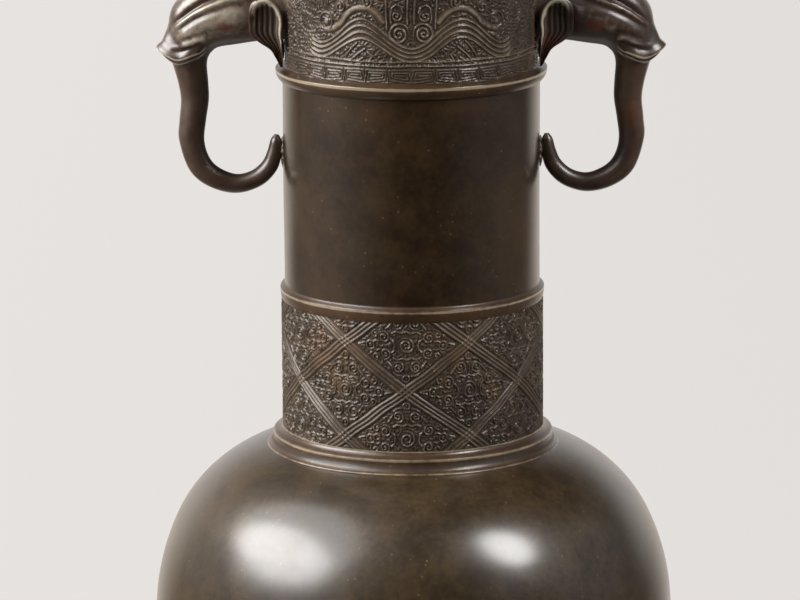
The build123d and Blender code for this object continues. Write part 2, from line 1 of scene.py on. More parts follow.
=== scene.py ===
import bpy
import numpy as np
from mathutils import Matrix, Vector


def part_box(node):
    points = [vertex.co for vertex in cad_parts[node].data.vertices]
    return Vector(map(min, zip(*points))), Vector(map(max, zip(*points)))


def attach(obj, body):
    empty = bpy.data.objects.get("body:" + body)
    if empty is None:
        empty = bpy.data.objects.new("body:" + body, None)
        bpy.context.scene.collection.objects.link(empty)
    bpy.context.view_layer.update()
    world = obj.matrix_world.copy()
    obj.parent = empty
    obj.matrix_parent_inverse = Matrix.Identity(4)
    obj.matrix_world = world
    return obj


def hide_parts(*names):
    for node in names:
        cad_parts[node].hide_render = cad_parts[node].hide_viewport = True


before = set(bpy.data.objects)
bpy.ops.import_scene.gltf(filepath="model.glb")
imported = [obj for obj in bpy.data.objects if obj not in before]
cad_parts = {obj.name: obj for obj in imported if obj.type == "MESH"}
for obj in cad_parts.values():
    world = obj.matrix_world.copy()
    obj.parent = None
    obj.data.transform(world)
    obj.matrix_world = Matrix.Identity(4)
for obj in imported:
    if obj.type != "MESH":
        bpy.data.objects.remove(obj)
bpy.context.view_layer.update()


# Foot: a hollow flared casting on a stepped rim, in the vessel's dark brown waxed bronze.
# The belly stands on its top, and a ring round the joint hides it.
MM = 0.001
TURNS = 256  # columns of points round a plain turned piece
SHARP = np.radians(62)  # an edge that bends by more than this is kept sharp
FLARE_TURN = 78.0  # degrees of an ellipse that a hollow flare follows
FOOT_WALL = 5.0
FOOT_RIM_HEIGHT = 9.0
FOOT_STEP = 2.6  # from the rim in to the flare above it
FOOT_WAIST_RISE = 41.0
FOOT_WAIST_INSET = 2.9  # from the ledge in to the waist
FOOT_LEDGE_INSET = 3.5  # from the foot rib's crest in to the ledge that carries it
FOOT_TOP_INSET = 1.5  # from the ledge in to the top, which the rib goes round
PLATE_WALL = 3.0  # from the waist in to the recess that holds the base plate
PLATE_LEDGE = 3.0  # width of the ledge under the plate
PLATE_DEPTH = 3.0  # depth of the recess


def node_mm(node):
    """A turned CAD node's outer radius, lowest height and highest height in millimetres."""
    low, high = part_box(node)
    return high.x / MM, low.z / MM, high.z / MM


def arc(centre, radius, first, last, count):
    """Outline points on a circle: the centre plus the radius times cosine and sine of even steps of angle."""
    turn = np.radians(np.linspace(first, last, count))
    return np.column_stack((centre[0] + radius * np.cos(turn), centre[1] + radius * np.sin(turn), 0 * turn))


def hollow(start, end, count):
    """Outline points of a hollow flare: most of a quarter ellipse, upright at start, almost flat at end."""
    turn = np.radians(np.linspace(0, FLARE_TURN, count))
    reach = (1 - np.cos(turn)) / (1 - np.cos(turn[-1]))
    rise = np.sin(turn) / np.sin(turn[-1])
    return np.column_stack((
        start[0] + (end[0] - start[0]) * reach,
        start[1] + (end[1] - start[1]) * rise,
        0 * turn,
    ))


def outline(*stretches, steps=5):
    """A closed outline of radius and height through rows of radius, height and cut.

    Where a cut isn't 0 the corner is rounded off: a quadratic curve runs from that far back along
    one side to that far along the other.
    """
    rows = np.vstack(stretches)
    place, cut = rows[:, :2], rows[:, 2:]
    back = np.roll(place, 1, axis=0) - place
    ahead = np.roll(place, -1, axis=0) - place
    start = place + cut * back / np.linalg.norm(back, axis=1, keepdims=True)
    end = place + cut * ahead / np.linalg.norm(ahead, axis=1, keepdims=True)
    t = np.linspace(0, 1, steps)[:, None, None]
    curve = ((1 - t) ** 2 * start + 2 * t * (1 - t) * place + t**2 * end).transpose(1, 0, 2)
    return curve[(cut > 0) | (np.arange(steps) == 0)]


def unevenness(turn, height):
    """How far a cast wall strays from round in millimetres: slow waves round it that lean with height."""
    return (
        0.10 * np.sin(2 * turn + 0.021 * height + 0.4)
        + 0.07 * np.sin(3 * turn - 0.034 * height + 1.1)
        + 0.04 * np.sin(7 * turn + 0.061 * height)
        + 0.03 * np.sin(11 * turn - 0.13 * height + 2.0)
    )


def turned(profile, columns=TURNS):
    """Points of a turned piece: the outline's radius, with the wall's unevenness, carried round the axis."""
    turn = np.linspace(0, 2 * np.pi, columns, endpoint=False)
    radius, height = profile[:, :1], profile[:, 1:]
    radius = radius + unevenness(turn, height)
    return np.dstack((radius * np.cos(turn), radius * np.sin(turn), height + 0 * turn))


def skin(name, points, wear_and_painted_light, capped=False):
    """A mesh over a grid of points in millimetres, smooth but for its sharp corners, with each point's value
    for worn metal, dirt, painted highlight and painted shade.

    Rows run along the piece and columns go round it and close. The last row meets the first, or
    where the piece is capped its first and last rows each close on their own middle. The faces are
    turned round if the volume inside them comes out negative.
    """
    rows, columns = points.shape[:2]
    corner = np.arange(rows * columns).reshape(rows, columns)
    beside = np.roll(corner, -1, axis=1)
    quads = np.stack((corner, beside, np.roll(beside, -1, axis=0), np.roll(corner, -1, axis=0)), axis=-1)
    places = points.reshape(-1, 3)
    wear_and_painted_light = np.broadcast_to(wear_and_painted_light, (rows, columns)).ravel()
    fans = np.empty((0, 3), int)
    if capped:
        quads = quads[:-1]
        first_pole = np.full(columns, rows * columns)
        fans = np.concatenate((
            np.stack((first_pole, beside[0], corner[0]), axis=-1),
            np.stack((first_pole + 1, corner[-1], beside[-1]), axis=-1),
        ))
        places = np.vstack((places, points[0].mean(axis=0), points[-1].mean(axis=0)))
        wear_and_painted_light = np.append(wear_and_painted_light, (wear_and_painted_light[0], wear_and_painted_light[-1]))
    quads = quads.reshape(-1, 4)
    triangles = np.concatenate((quads[:, :3], quads[:, [0, 2, 3]], fans))
    a, b, c = (places[triangles[:, k]] for k in range(3))
    if np.sum(a * np.cross(b, c)) < 0:
        quads, fans = quads[:, ::-1], fans[:, ::-1]
    mesh = bpy.data.meshes.new(name)
    mesh.from_pydata(places * MM, [], quads.tolist() + fans.tolist(), shade_flat=False)
    mesh.set_sharp_from_angle(angle=SHARP)
    mesh.attributes.new("wear_and_painted_light", "FLOAT", "POINT").data.foreach_set("value", wear_and_painted_light.astype(np.float32))
    piece = bpy.data.objects.new(name, mesh)
    bpy.context.collection.objects.link(piece)
    return piece


def fit(piece, material, slot, *nodes):
    """Give a piece its material, let it ride on the vessel and stand for its CAD nodes. The slot is not used.
    """
    piece.data.materials.append(material)
    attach(piece, "root")
    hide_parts(*nodes)


def add_node(tree, kind, inputs=(), **settings):
    """Add a shader node, with its settings, and give each named or numbered input a value or a link."""
    made = tree.nodes.new(kind)
    for setting, value in settings.items():
        setattr(made, setting, value)
    for key, value in dict(inputs).items():
        if isinstance(value, bpy.types.NodeSocket):
            tree.links.new(value, made.inputs[key])
        else:
            made.inputs[key].default_value = value
    return made


def noise(tree, place, scale, detail, roughness=0.6):
    """A noise of that many features to the metre, as a value from 0 to 1."""
    inputs = {"Vector": place, "Scale": scale, "Detail": detail, "Roughness": roughness}
    return add_node(tree, "ShaderNodeTexNoise", inputs).outputs["Fac"]


def ramp(tree, value, low, high):
    """A smooth mask: 0 below low, 1 above high."""
    inputs = {"Value": value, "From Min": low, "From Max": high}
    return add_node(tree, "ShaderNodeMapRange", inputs, interpolation_type="SMOOTHSTEP").outputs["Result"]


def maths(tree, operation, first, second):
    """Two values put together by an arithmetic operation."""
    return add_node(tree, "ShaderNodeMath", {0: first, 1: second}, operation=operation).outputs["Value"]


def blend(tree, mask, first, second):
    """The first colour where the mask is 0 and the second where it is 1."""
    made = add_node(tree, "ShaderNodeMix", data_type="RGBA")
    for key, value in (("Factor_Float", mask), ("A_Color", first), ("B_Color", second)):
        socket = next(one for one in made.inputs if one.identifier == key)
        if isinstance(value, bpy.types.NodeSocket):
            tree.links.new(value, socket)
        else:
            socket.default_value = value
    return next(one for one in made.outputs if one.identifier == "Result_Color")


# Shared finish: brown cast bronze with clouds of two browns, stains, pale specks, bright worn edges that are
# also painted highlights, and dark hollows of dirt and painted shade, under a film of wax that is thin over
# the stains.
HOLLOW_DIRT_AND_SHADE = (0.012, 0.008, 0.005, 1.0)  # dirt in the hollows, and painted shade where hollows, grooves and undersides are darkened
CAST_DEPTH = 0.4  # of the grain that casting leaves
WAX_IOR = 1.7
patina = bpy.data.node_groups.new("aged bronze", "ShaderNodeTree")
for socket_name in ("Dark", "Light", "Stain", "Worn"):
    patina.interface.new_socket(socket_name, in_out="INPUT", socket_type="NodeSocketColor")
for socket_name in ("WearAndPaintedLight", "Grain", "Specks"):
    patina.interface.new_socket(socket_name, in_out="INPUT", socket_type="NodeSocketFloat")
patina.interface.new_socket("Color", in_out="OUTPUT", socket_type="NodeSocketColor")
for socket_name in ("Roughness", "Wax", "Height"):
    patina.interface.new_socket(socket_name, in_out="OUTPUT", socket_type="NodeSocketFloat")
given = patina.nodes.new("NodeGroupInput").outputs
place = patina.nodes.new("ShaderNodeTexCoord").outputs["Object"]
drift_inputs = {"Vector": place, "Location": (0.31, 0.17, 0.23)}
drift = add_node(patina, "ShaderNodeMapping", drift_inputs).outputs["Vector"]
slow = noise(patina, place, 22, 3)
cloud = noise(patina, drift, 95, 5, 0.65)
stain = noise(patina, drift, 34, 4, 0.7)
speck = noise(patina, place, 520, 4)
grain = noise(patina, place, 1500, 3)
pit_spread = add_node(patina, "ShaderNodeTexVoronoi", {"Vector": place, "Scale": 330.0})
pit = ramp(patina, pit_spread.outputs["Distance"], 0.15, 0.06)
pit = maths(patina, "MULTIPLY", pit, ramp(patina, cloud, 0.46, 0.60))
mottle = maths(patina, "ADD", maths(patina, "MULTIPLY", slow, 0.4), maths(patina, "MULTIPLY", cloud, 0.35))
mottle = maths(patina, "ADD", mottle, maths(patina, "MULTIPLY", speck, 0.25))
colour = blend(patina, ramp(patina, mottle, 0.40, 0.62), given["Dark"], given["Light"])
stained = maths(patina, "MULTIPLY", ramp(patina, stain, 0.54, 0.74), 0.7)
colour = blend(patina, stained, colour, given["Stain"])
# A value below nought darkens the colour: dirt in the relief's ground, painted shade in the grooves, the ear
# hollows, the collar's lower hollow and under the heads; the rings' upper hollows come out a little darker.
sunk = ramp(patina, given["WearAndPaintedLight"], 0.0, -0.5)
colour = blend(patina, maths(patina, "MULTIPLY", sunk, 0.75), colour, HOLLOW_DIRT_AND_SHADE)
# A high value paints the worn colour: rubbed edges and ridges, and painted highlights on the mouldings'
# crests and edges, the ear rims and the upper heads.
wear_and_light_level = maths(patina, "MULTIPLY", maths(patina, "ADD", slow, cloud), given["WearAndPaintedLight"])
rubbed_and_sheen = ramp(patina, maths(patina, "ADD", wear_and_light_level, maths(patina, "MULTIPLY", speck, 0.5)), 0.55, 1.25)
colour = blend(patina, rubbed_and_sheen, colour, given["Worn"])
colour = blend(patina, maths(patina, "MULTIPLY", pit, given["Specks"]), colour, given["Worn"])
finish = maths(patina, "ADD", maths(patina, "MULTIPLY", cloud, 0.18), 0.28)
finish = maths(patina, "ADD", finish, maths(patina, "MULTIPLY", given["Grain"], 0.16))
finish = maths(patina, "SUBTRACT", finish, maths(patina, "MULTIPLY", rubbed_and_sheen, 0.12))
finish = maths(patina, "ADD", finish, maths(patina, "MULTIPLY", sunk, 0.25))
wax = maths(patina, "SUBTRACT", 1.0, maths(patina, "MULTIPLY", stained, 0.35))
wax = maths(patina, "SUBTRACT", wax, maths(patina, "MULTIPLY", given["Grain"], 0.75))
wax = maths(patina, "MULTIPLY", wax, maths(patina, "SUBTRACT", 1.0, sunk))
height = maths(patina, "ADD", maths(patina, "MULTIPLY", speck, 0.6), maths(patina, "MULTIPLY", grain, 0.4))
height = maths(patina, "SUBTRACT", height, maths(patina, "MULTIPLY", pit, 0.5))
add_node(patina, "NodeGroupOutput", {"Color": colour, "Roughness": finish, "Wax": wax, "Height": height})


def bronze(name, dark, light, stain, worn, grain=0.0, specks=0.5, bump=0.05, metal=0.2, gloss=0.22):
    """A waxed bronze of those colours: the aged bronze group on a slightly metallic shader under wax."""
    material = bpy.data.materials.new(name)
    material.use_nodes = True
    tree = material.node_tree
    shader = tree.nodes["Principled BSDF"]
    wear_and_painted_light = add_node(tree, "ShaderNodeAttribute", attribute_name="wear_and_painted_light").outputs["Fac"]
    aged = add_node(tree, "ShaderNodeGroup", node_tree=patina)
    tree.links.new(wear_and_painted_light, aged.inputs["WearAndPaintedLight"])
    for socket_name, value in (("Dark", dark), ("Light", light), ("Stain", stain), ("Worn", worn)):
        aged.inputs[socket_name].default_value = (*value, 1.0)
    aged.inputs["Grain"].default_value = grain
    aged.inputs["Specks"].default_value = specks
    cast = add_node(tree, "ShaderNodeBump", {"Height": aged.outputs["Height"], "Strength": bump})
    cast.inputs["Distance"].default_value = CAST_DEPTH * MM
    tree.links.new(aged.outputs["Color"], shader.inputs["Base Color"])
    tree.links.new(aged.outputs["Roughness"], shader.inputs["Roughness"])
    tree.links.new(aged.outputs["Wax"], shader.inputs["Coat Weight"])
    tree.links.new(cast.outputs["Normal"], shader.inputs["Normal"])
    shader.inputs["Metallic"].default_value = metal
    shader.inputs["Coat Roughness"].default_value = gloss
    shader.inputs["Coat IOR"].default_value = WAX_IOR
    return material


vessel_bronze = bronze(
    "vessel bronze",
    dark=(0.042, 0.022, 0.007),
    light=(0.074, 0.042, 0.013),
    stain=(0.062, 0.038, 0.017),
    worn=(0.30, 0.20, 0.10),
)
foot_r, _, foot_top = node_mm("foot")
rib_r, rib_base, _ = node_mm("foot_rib")
seat_r = rib_r - FOOT_LEDGE_INSET
foot_top_r = seat_r - FOOT_TOP_INSET
waist_r = seat_r - FOOT_WAIST_INSET
flare_r = foot_r - FOOT_STEP
plate_r = waist_r - PLATE_WALL
plate_base = foot_top - PLATE_DEPTH
waist = (waist_r, FOOT_WAIST_RISE)
flare = (flare_r, FOOT_RIM_HEIGHT)
foot_profile = outline(
    hollow(waist, flare, 24),
    [(foot_r, FOOT_RIM_HEIGHT, 1.2), (foot_r, 0, 1.2), (flare_r - FOOT_WALL, 0, 1.0)],
    hollow((waist_r - FOOT_WALL, FOOT_WAIST_RISE), (flare_r - FOOT_WALL, FOOT_RIM_HEIGHT), 12)[::-1],
    [(plate_r - PLATE_LEDGE, plate_base, 0), (plate_r, plate_base, 0), (plate_r, foot_top, 0)],
    [(foot_top_r, foot_top, 0), (foot_top_r, rib_base, 0), (seat_r, rib_base, 0.8)],
)
foot_wear = np.exp(-(((foot_profile[:, :1] - foot_r) / 1.2) ** 2)) * 0.6
foot = skin("foot_casting", turned(foot_profile), foot_wear)
fit(foot, vessel_bronze, "vessel_bronze", "foot")


# Base plate: a disc let into the foot's top, with its underside seen only from below.
# It keeps its CAD shape and takes the vessel's bronze.
base_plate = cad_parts["base_plate"]
base_plate.data.materials.clear()
base_plate.data.materials.append(vessel_bronze)


# Foot rib: a cast ring over the joint of the foot and the belly, with a leaning face, a narrow crest
# that is rubbed bright, its bright line partly a painted highlight, and a hollow above it.
RIB_CREST_RISE = 3.5  # middle of the crest above the ring's foot
RIB_CREST = 1.3  # height of the crest
RIB_LEAN = 1.7  # how far the face leans out to the crest
FACE_BEND_OUT = 0.72  # share of the lean where the face bends
FACE_BEND_RISE = 0.4  # share of the crest's rise where it bends
RING_ROOT = 0.6  # how far a ring's inside runs into its wall
BRIGHT_EDGE_HALF = 0.5  # half the width of a bright edge, worn and painted as a highlight
RIB_DULLING = 0.2  # how dull the hollow is
rib_bronze = bronze(
    "rib bronze",
    dark=(0.040, 0.019, 0.007),
    light=(0.072, 0.037, 0.014),
    stain=(0.085, 0.034, 0.013),
    worn=(0.33, 0.265, 0.18),
    grain=0.35,
)


def hollow_ring(name, node, wall_r, lean, rubbing_and_sheen=0.95):
    """A ring on a wall: a face that leans out to the crest, then a hollow that flows up to the wall above.

    The crest is made bright by that much, as worn metal with a painted highlight line along it, and the
    hollow is dull.
    """
    crest_r, base, top = node_mm(node)
    face_r = crest_r - lean
    crest_top = base + RIB_CREST_RISE + RIB_CREST / 2
    profile = outline(
        [(wall_r - RING_ROOT, base, 0), (face_r, base, 0.15)],
        [(face_r + FACE_BEND_OUT * lean, base + FACE_BEND_RISE * RIB_CREST_RISE, 0.8)],
        [(crest_r, crest_top - RIB_CREST, 0.6), (crest_r, crest_top, 0.35)],
        hollow((wall_r, top), (crest_r, crest_top), 12)[-2::-1],
        [(wall_r - RING_ROOT, top, 0)],
    )
    rise = profile[:, 1:] - base
    # The crest is painted bright: worn metal and a painted highlight line.
    crest = rubbing_and_sheen * np.exp(-(((rise - RIB_CREST_RISE) / BRIGHT_EDGE_HALF) ** 2)) * (profile[:, :1] > wall_r)
    above = np.clip((rise - RIB_CREST_RISE - RIB_CREST / 2) / 0.5, 0, 1)
    ring = skin(name, turned(profile), crest - RIB_DULLING * above)
    fit(ring, rib_bronze, "vessel_bronze", node)


hollow_ring("foot_ring", "foot_rib", foot_top_r, RIB_LEAN)


# Belly: one full globular casting, plain and waxed. It stands on the foot, and the neck is let into a
# socket in its shoulder.
BELLY_WALL = 4.0
SOCKET_LEDGE = 9.0  # from the collar's seat in to the opening that takes the neck
SIDE_ARC_R = 75.8
SHOULDER_ARC_R = 48.3
SHOULDER_TURN = 25.6  # degrees above the widest part where the shoulder's arc begins
BASE_ARC_R = 58.0
BASE_TURN = 42.0  # degrees below the widest part where the base's arc begins
belly_r = node_mm("belly")[0]
collar_seat_r, collar_base, collar_top = node_mm("shoulder_collar")
side_centre = belly_r - SIDE_ARC_R


def belly_side(inset, shoulder_r, base_r):
    """The belly's wall from its base to its shoulder: three arcs that meet smoothly, drawn in by inset."""
    upper_turn, lower_turn = np.radians(SHOULDER_TURN), np.radians(BASE_TURN)
    upper_r = side_centre + (SIDE_ARC_R - SHOULDER_ARC_R) * np.cos(upper_turn)
    upper_z = (SIDE_ARC_R - SHOULDER_ARC_R) * np.sin(upper_turn)
    lower_r = side_centre + (SIDE_ARC_R - BASE_ARC_R) * np.cos(lower_turn)
    lower_z = -(SIDE_ARC_R - BASE_ARC_R) * np.sin(lower_turn)
    top_turn = np.degrees(np.arccos((shoulder_r - upper_r) / (SHOULDER_ARC_R - inset)))
    base_turn = np.degrees(np.arccos((base_r - lower_r) / (BASE_ARC_R - inset)))
    return np.vstack((
        arc((lower_r, lower_z), BASE_ARC_R - inset, -base_turn, -BASE_TURN, 16)[:-1],
        arc((side_centre, 0), SIDE_ARC_R - inset, -BASE_TURN, SHOULDER_TURN, 36)[:-1],
        arc((upper_r, upper_z), SHOULDER_ARC_R - inset, SHOULDER_TURN, top_turn, 26),
    ))


belly_outside = belly_side(0, collar_seat_r, seat_r)
equator = collar_base - belly_outside[-1, 1]
belly_inside = belly_side(BELLY_WALL, collar_seat_r, seat_r)[::3]
socket_edge = (collar_seat_r - SOCKET_LEDGE, belly_outside[-1, 1], 0)
belly_profile = outline(belly_outside, [socket_edge], belly_inside[::-1])
belly_profile[:, 1] += equator
belly_bronze = bronze(
    "belly bronze",
    dark=(0.025, 0.014, 0.0045),
    light=(0.062, 0.037, 0.013),
    stain=(0.062, 0.040, 0.019),
    worn=(0.26, 0.17, 0.09),
)
belly = skin("belly_casting", turned(belly_profile), 0.0)
fit(belly, belly_bronze, "vessel_bronze", "belly")


# Shoulder collar: a cast moulding round the root of the neck. A hollow comes down to a narrow crest,
# and below it a second hollow spreads on to the belly. Its three edges are rubbed bright and painted as
# highlight lines, and the lower hollow is painted darker as shade under the crest.
COLLAR_CREST_RISE = 4.1  # middle of the crest above the moulding's seat
COLLAR_CREST = 0.6  # height of the crest
COLLAR_SPREAD = 1.8  # from the crest out to the foot of the moulding
COLLAR_EDGE = 0.75  # how far its top edge stands out from the neck
COLLAR_FOOT = 0.5  # how far its foot stands out from the seat
COLLAR_SINK = 0.8  # how far its underside runs into the belly
COLLAR_SHADE_RISE = 1.8  # where the painted shade in the lower hollow is darkest
LOWER_NECK_STEP = 0.65  # from the plain neck's wall out to the lattice's ground
lower_neck_r = node_mm("middle_neck")[0] + LOWER_NECK_STEP
collar_crest_r = collar_seat_r - COLLAR_SPREAD
collar_edge_r = lower_neck_r + COLLAR_EDGE
collar_foot_r = collar_seat_r + COLLAR_FOOT
collar_wall_r = lower_neck_r - RING_ROOT
collar_crest_top = collar_base + COLLAR_CREST_RISE + COLLAR_CREST / 2
collar_crest_base = collar_crest_top - COLLAR_CREST
collar_profile = outline(
    [(collar_wall_r, collar_base - COLLAR_SINK, 0), (collar_foot_r, collar_base - COLLAR_SINK, 0)],
    [(collar_foot_r, collar_base - 0.25, 0.1)],
    hollow((collar_crest_r, collar_crest_base), (collar_seat_r + 0.3, collar_base + 0.1), 14)[::-1],
    [(collar_crest_r, collar_crest_top, 0.10)],
    hollow((collar_edge_r, collar_top), (collar_crest_r, collar_crest_top), 14)[-2::-1],
    [(collar_wall_r, collar_top, 0)],
)
collar_rise = collar_profile[:, 1:] - collar_base
# Bright lines on the three edges: worn metal and painted highlights.
collar_wear_and_light = np.maximum.reduce((
    1.05 * np.exp(-(((collar_rise - COLLAR_CREST_RISE) / 0.48) ** 2)),
    0.9 * np.exp(-(((collar_rise + collar_base - collar_top) / BRIGHT_EDGE_HALF) ** 2)),
    0.65 * np.exp(-((collar_rise / BRIGHT_EDGE_HALF) ** 2)),
))
# Painted shade: the lower hollow under the crest is darkened.
collar_wear_and_light = collar_wear_and_light - 0.3 * np.exp(-(((collar_rise - COLLAR_SHADE_RISE) / 0.9) ** 2))
collar_face = collar_profile[:, :1] > lower_neck_r
collar = skin("shoulder_moulding", turned(collar_profile), collar_wear_and_light * collar_face)
fit(collar, rib_bronze, "vessel_bronze", "shoulder_collar")


# Lower neck: a cast tube with a raised lattice of triple straps, scrolls in its lozenges and a fine
# winding fill round them. The ground is dark and grainy, and the ridges are rubbed to a tan metal.
RELIEF = 0.66  # height of the ridges
RELIEF_STATIONS = 541  # rows of points round half of an ornamented section
RELIEF_ROWS = 168  # points up its outside
RELIEF_WALL = 3.2  # from its ground in to its bore
RELIEF_SPIGOT = 3.0  # how far the bore's end runs down inside the piece below
RELIEF_RUBBING = 1.1  # wear of a whole ridge above the ground's
GROUND_DULLING = 0.45
LOZENGES = 6  # round the neck
LOZENGE_HEIGHT = 31.9
CROSSING_RISE = 26.8  # middle row of crossings above the collar's seat
CROSSING_TURN = -3.0  # degrees from the front to the nearest crossing
CROWDING = 0.09  # how much narrower the front lozenges are than the mean
LATTICE_WAVER = 0.15
STRAP_LINES = (-1.3, 0.0, 1.3)  # the three ridges across a strap
STRAP_HALF = 2.1  # half the width of its base
STRAP_BASE = 0.25  # height of the base, as a share of the relief
STRAP_RIDGE = 0.68  # height of the ridges on it
EDGE_FADE = 0.4  # width over which a base ends
SCROLL_HALF = 0.3  # half the width of a scroll line
COIL_PITCH = 1.15
MIDDLE_COIL = (2.6, 1.25)  # radius and pitch of the coil in the middle of a lozenge
FILL_LENGTH = 2.1  # wavelength of the winding fill
GRAIN_LENGTH = 1.15  # wavelength of the grain on the ground
FILL_WAVES = 24
FILL_CLEARANCE = 0.55  # between a line and the fill


def ridge(distance, half_width):
    """A raised line: 1 on the line, falling away on both sides as a bell curve."""
    return np.exp(-((distance / half_width) ** 2))


def coil_gap(across, up, radius, pitch, sense):
    """Distance from a coiled line, which is one pitch farther from its middle after each turn."""
    reach = np.hypot(across, up)
    turns = reach / pitch - sense * np.arctan2(up, across) / (2 * np.pi)
    return np.maximum(np.abs(turns - np.round(turns)) * pitch, reach - radius)


def line_gap(across, up, points):
    """Distance from a line made of short straight runs."""
    nearest = np.full(np.broadcast(across, up).shape, np.inf)
    for (x0, z0), (x1, z1) in zip(points[:-1], points[1:]):
        run, rise = x1 - x0, z1 - z0
        along = np.clip(((across - x0) * run + (up - z0) * rise) / (run**2 + rise**2), 0, 1)
        nearest = np.minimum(nearest, np.hypot(across - x0 - along * run, up - z0 - along * rise))
    return nearest


def winding_fill(turn, rise, wall_r, length):
    """Fine winding lines: ridges where waves of one length, laid in many directions, add up to nought."""
    steepness = 2 * np.pi / length
    total = np.zeros(np.broadcast(turn, rise).shape)
    for k in range(FILL_WAVES):
        lean = 2.4 * k
        round_count = np.round(wall_r * steepness * np.cos(lean))
        total = total + np.cos(round_count * turn + steepness * np.sin(lean) * rise + k**2)
    return ridge(total / np.sqrt(FILL_WAVES / 2), 0.24 * steepness)


def ground(turn, rise, wall_r, clear):
    """The ground between the lines: grain, with winding fill wherever it is clear of them."""
    fill = winding_fill(turn, rise, wall_r, FILL_LENGTH) * np.clip((clear - FILL_CLEARANCE) / 0.3, 0, 1)
    return np.maximum(0.75 * fill, 0.25 * winding_fill(turn, rise, wall_r, GRAIN_LENGTH))


def hand_waver(turn, height, size):
    """How far hand-made ornament strays: a sum of slow waves over the wall, of about that size."""
    return size * (
        np.sin(3 * turn + 0.31 * height) + np.sin(5 * turn - 0.23 * height + 1.7)
        + 0.6 * np.sin(11 * turn + 0.47 * height + 0.6)
    )


def lattice(turn, rise):
    """The lattice's height from 0 to 1 at an angle from the front and a height above the collar's seat.

    Two families of slanting bands cross it, each with a low base and three ridges. In a lozenge the
    place from its middle is folded into one quarter, which holds coils, their tails and the fill.
    """
    width = 2 * np.pi * lower_neck_r / LOZENGES
    crowded = turn + CROWDING * np.sin(turn)
    across = (crowded - np.radians(CROSSING_TURN)) * LOZENGES / (2 * np.pi)
    across = across + hand_waver(turn, rise, LATTICE_WAVER) / width
    up = (rise + hand_waver(turn + 2, rise, LATTICE_WAVER) - CROSSING_RISE) / LOZENGE_HEIGHT
    falling, rising = across - up, across + up
    apart = width * np.sin(np.arctan2(LOZENGE_HEIGHT, width))
    straps = [(band - np.round(band)) * apart for band in (falling, rising)]
    clear = np.minimum(np.abs(straps[0]), np.abs(straps[1]))
    strap_gap = np.minimum.reduce([np.abs(strap - line) for strap in straps for line in STRAP_LINES])
    base = STRAP_BASE * np.clip((STRAP_HALF - clear) / EDGE_FADE, 0, 1)
    form = base + STRAP_RIDGE * ridge(strap_gap, SCROLL_HALF)
    falling, rising = falling - np.floor(falling) - 0.5, rising - np.floor(rising) - 0.5
    x = (falling + rising) / 2 * width
    z = (rising - falling) / 2 * LOZENGE_HEIGHT
    aside, above = np.abs(x), np.abs(z)
    gaps = [coil_gap(x, z, *MIDDLE_COIL, 1)]
    for centre_x, centre_z, radius, sense in (
        (3.1, 7.6, 1.9, 1),
        (7.9, 2.8, 1.8, -1),
        (13.3, 0.0, 1.5, 1),
        (0.0, 11.3, 1.2, 1),
        (11.0, 3.8, 1.1, 1),
    ):
        gaps.append(coil_gap(aside - centre_x, above - centre_z, radius, COIL_PITCH, sense))
    for path in (
        ((5.0, 7.9), (6.2, 6.4), (7.0, 5.6)),
        ((0.0, 5.0), (1.6, 4.3), (3.4, 4.9), (5.0, 4.2)),
        ((1.9, 10.6), (3.6, 10.3), (4.6, 9.4)),
        ((4.2, 0.0), (4.6, 1.6), (5.6, 2.4)),
        ((9.8, 1.4), (11.0, 1.7), (12.0, 1.2)),
        ((15.2, 0.6), (17.6, 0.0)),
    ):
        gaps.append(line_gap(aside, above, path))
    nearest = np.minimum.reduce(gaps)
    inside = np.clip((clear - STRAP_HALF - 0.1) / EDGE_FADE, 0, 1)
    scrolls = np.maximum(0.95 * ridge(nearest, SCROLL_HALF), ground(turn, rise, lower_neck_r, nearest))
    return form + inside * scrolls


relief_bronze = bronze(
    "relief bronze",
    dark=(0.042, 0.026, 0.014),
    light=(0.086, 0.058, 0.035),
    stain=(0.130, 0.070, 0.032),
    worn=(0.42, 0.32, 0.22),
    grain=0.9,
    bump=0.3,
)


def ornamented(name, node, wall_r, base, top, pattern):
    """A tube with ornament in a front and a back half: fine outside, raised by the pattern, coarse inside."""
    rise = np.linspace(0, top - base, RELIEF_ROWS)
    inner_rise = np.linspace(top - base, -RELIEF_SPIGOT, 4)
    height = base + np.append(rise, inner_rise)
    for half_name, middle in (("front", 0.0), ("back", np.pi)):
        turn = middle + np.linspace(-np.pi / 2, np.pi / 2, RELIEF_STATIONS)[:, None]
        raised = pattern(turn, rise)
        outer_r = wall_r + RELIEF * raised + unevenness(turn - np.pi / 2, base + rise)
        inner_r = wall_r - RELIEF_WALL + 0 * turn + 0 * inner_rise
        radius = np.hstack((outer_r, inner_r))
        points = np.dstack((radius * np.sin(turn), -radius * np.cos(turn), height + 0 * turn))
        wear_and_painted_light = np.hstack((RELIEF_RUBBING * raised - GROUND_DULLING, 0 * inner_r))
        half = skin(f"{name}_{half_name}", points, wear_and_painted_light, capped=True)
        fit(half, relief_bronze, "vessel_bronze", node)


lower_rib_base = node_mm("lower_rib")[1]
ornamented("lattice_neck", "lower_neck", lower_neck_r, collar_base, lower_rib_base, lattice)


# Lower rib: a low cast ring over the joint of the lattice and the plain neck, in the ribs' bronze.
# Its face leans less than on the other ribs.
LOWER_RIB_LEAN = 0.5
middle_neck_r = node_mm("middle_neck")[0]
hollow_ring("lower_ring", "lower_rib", middle_neck_r, LOWER_RIB_LEAN)


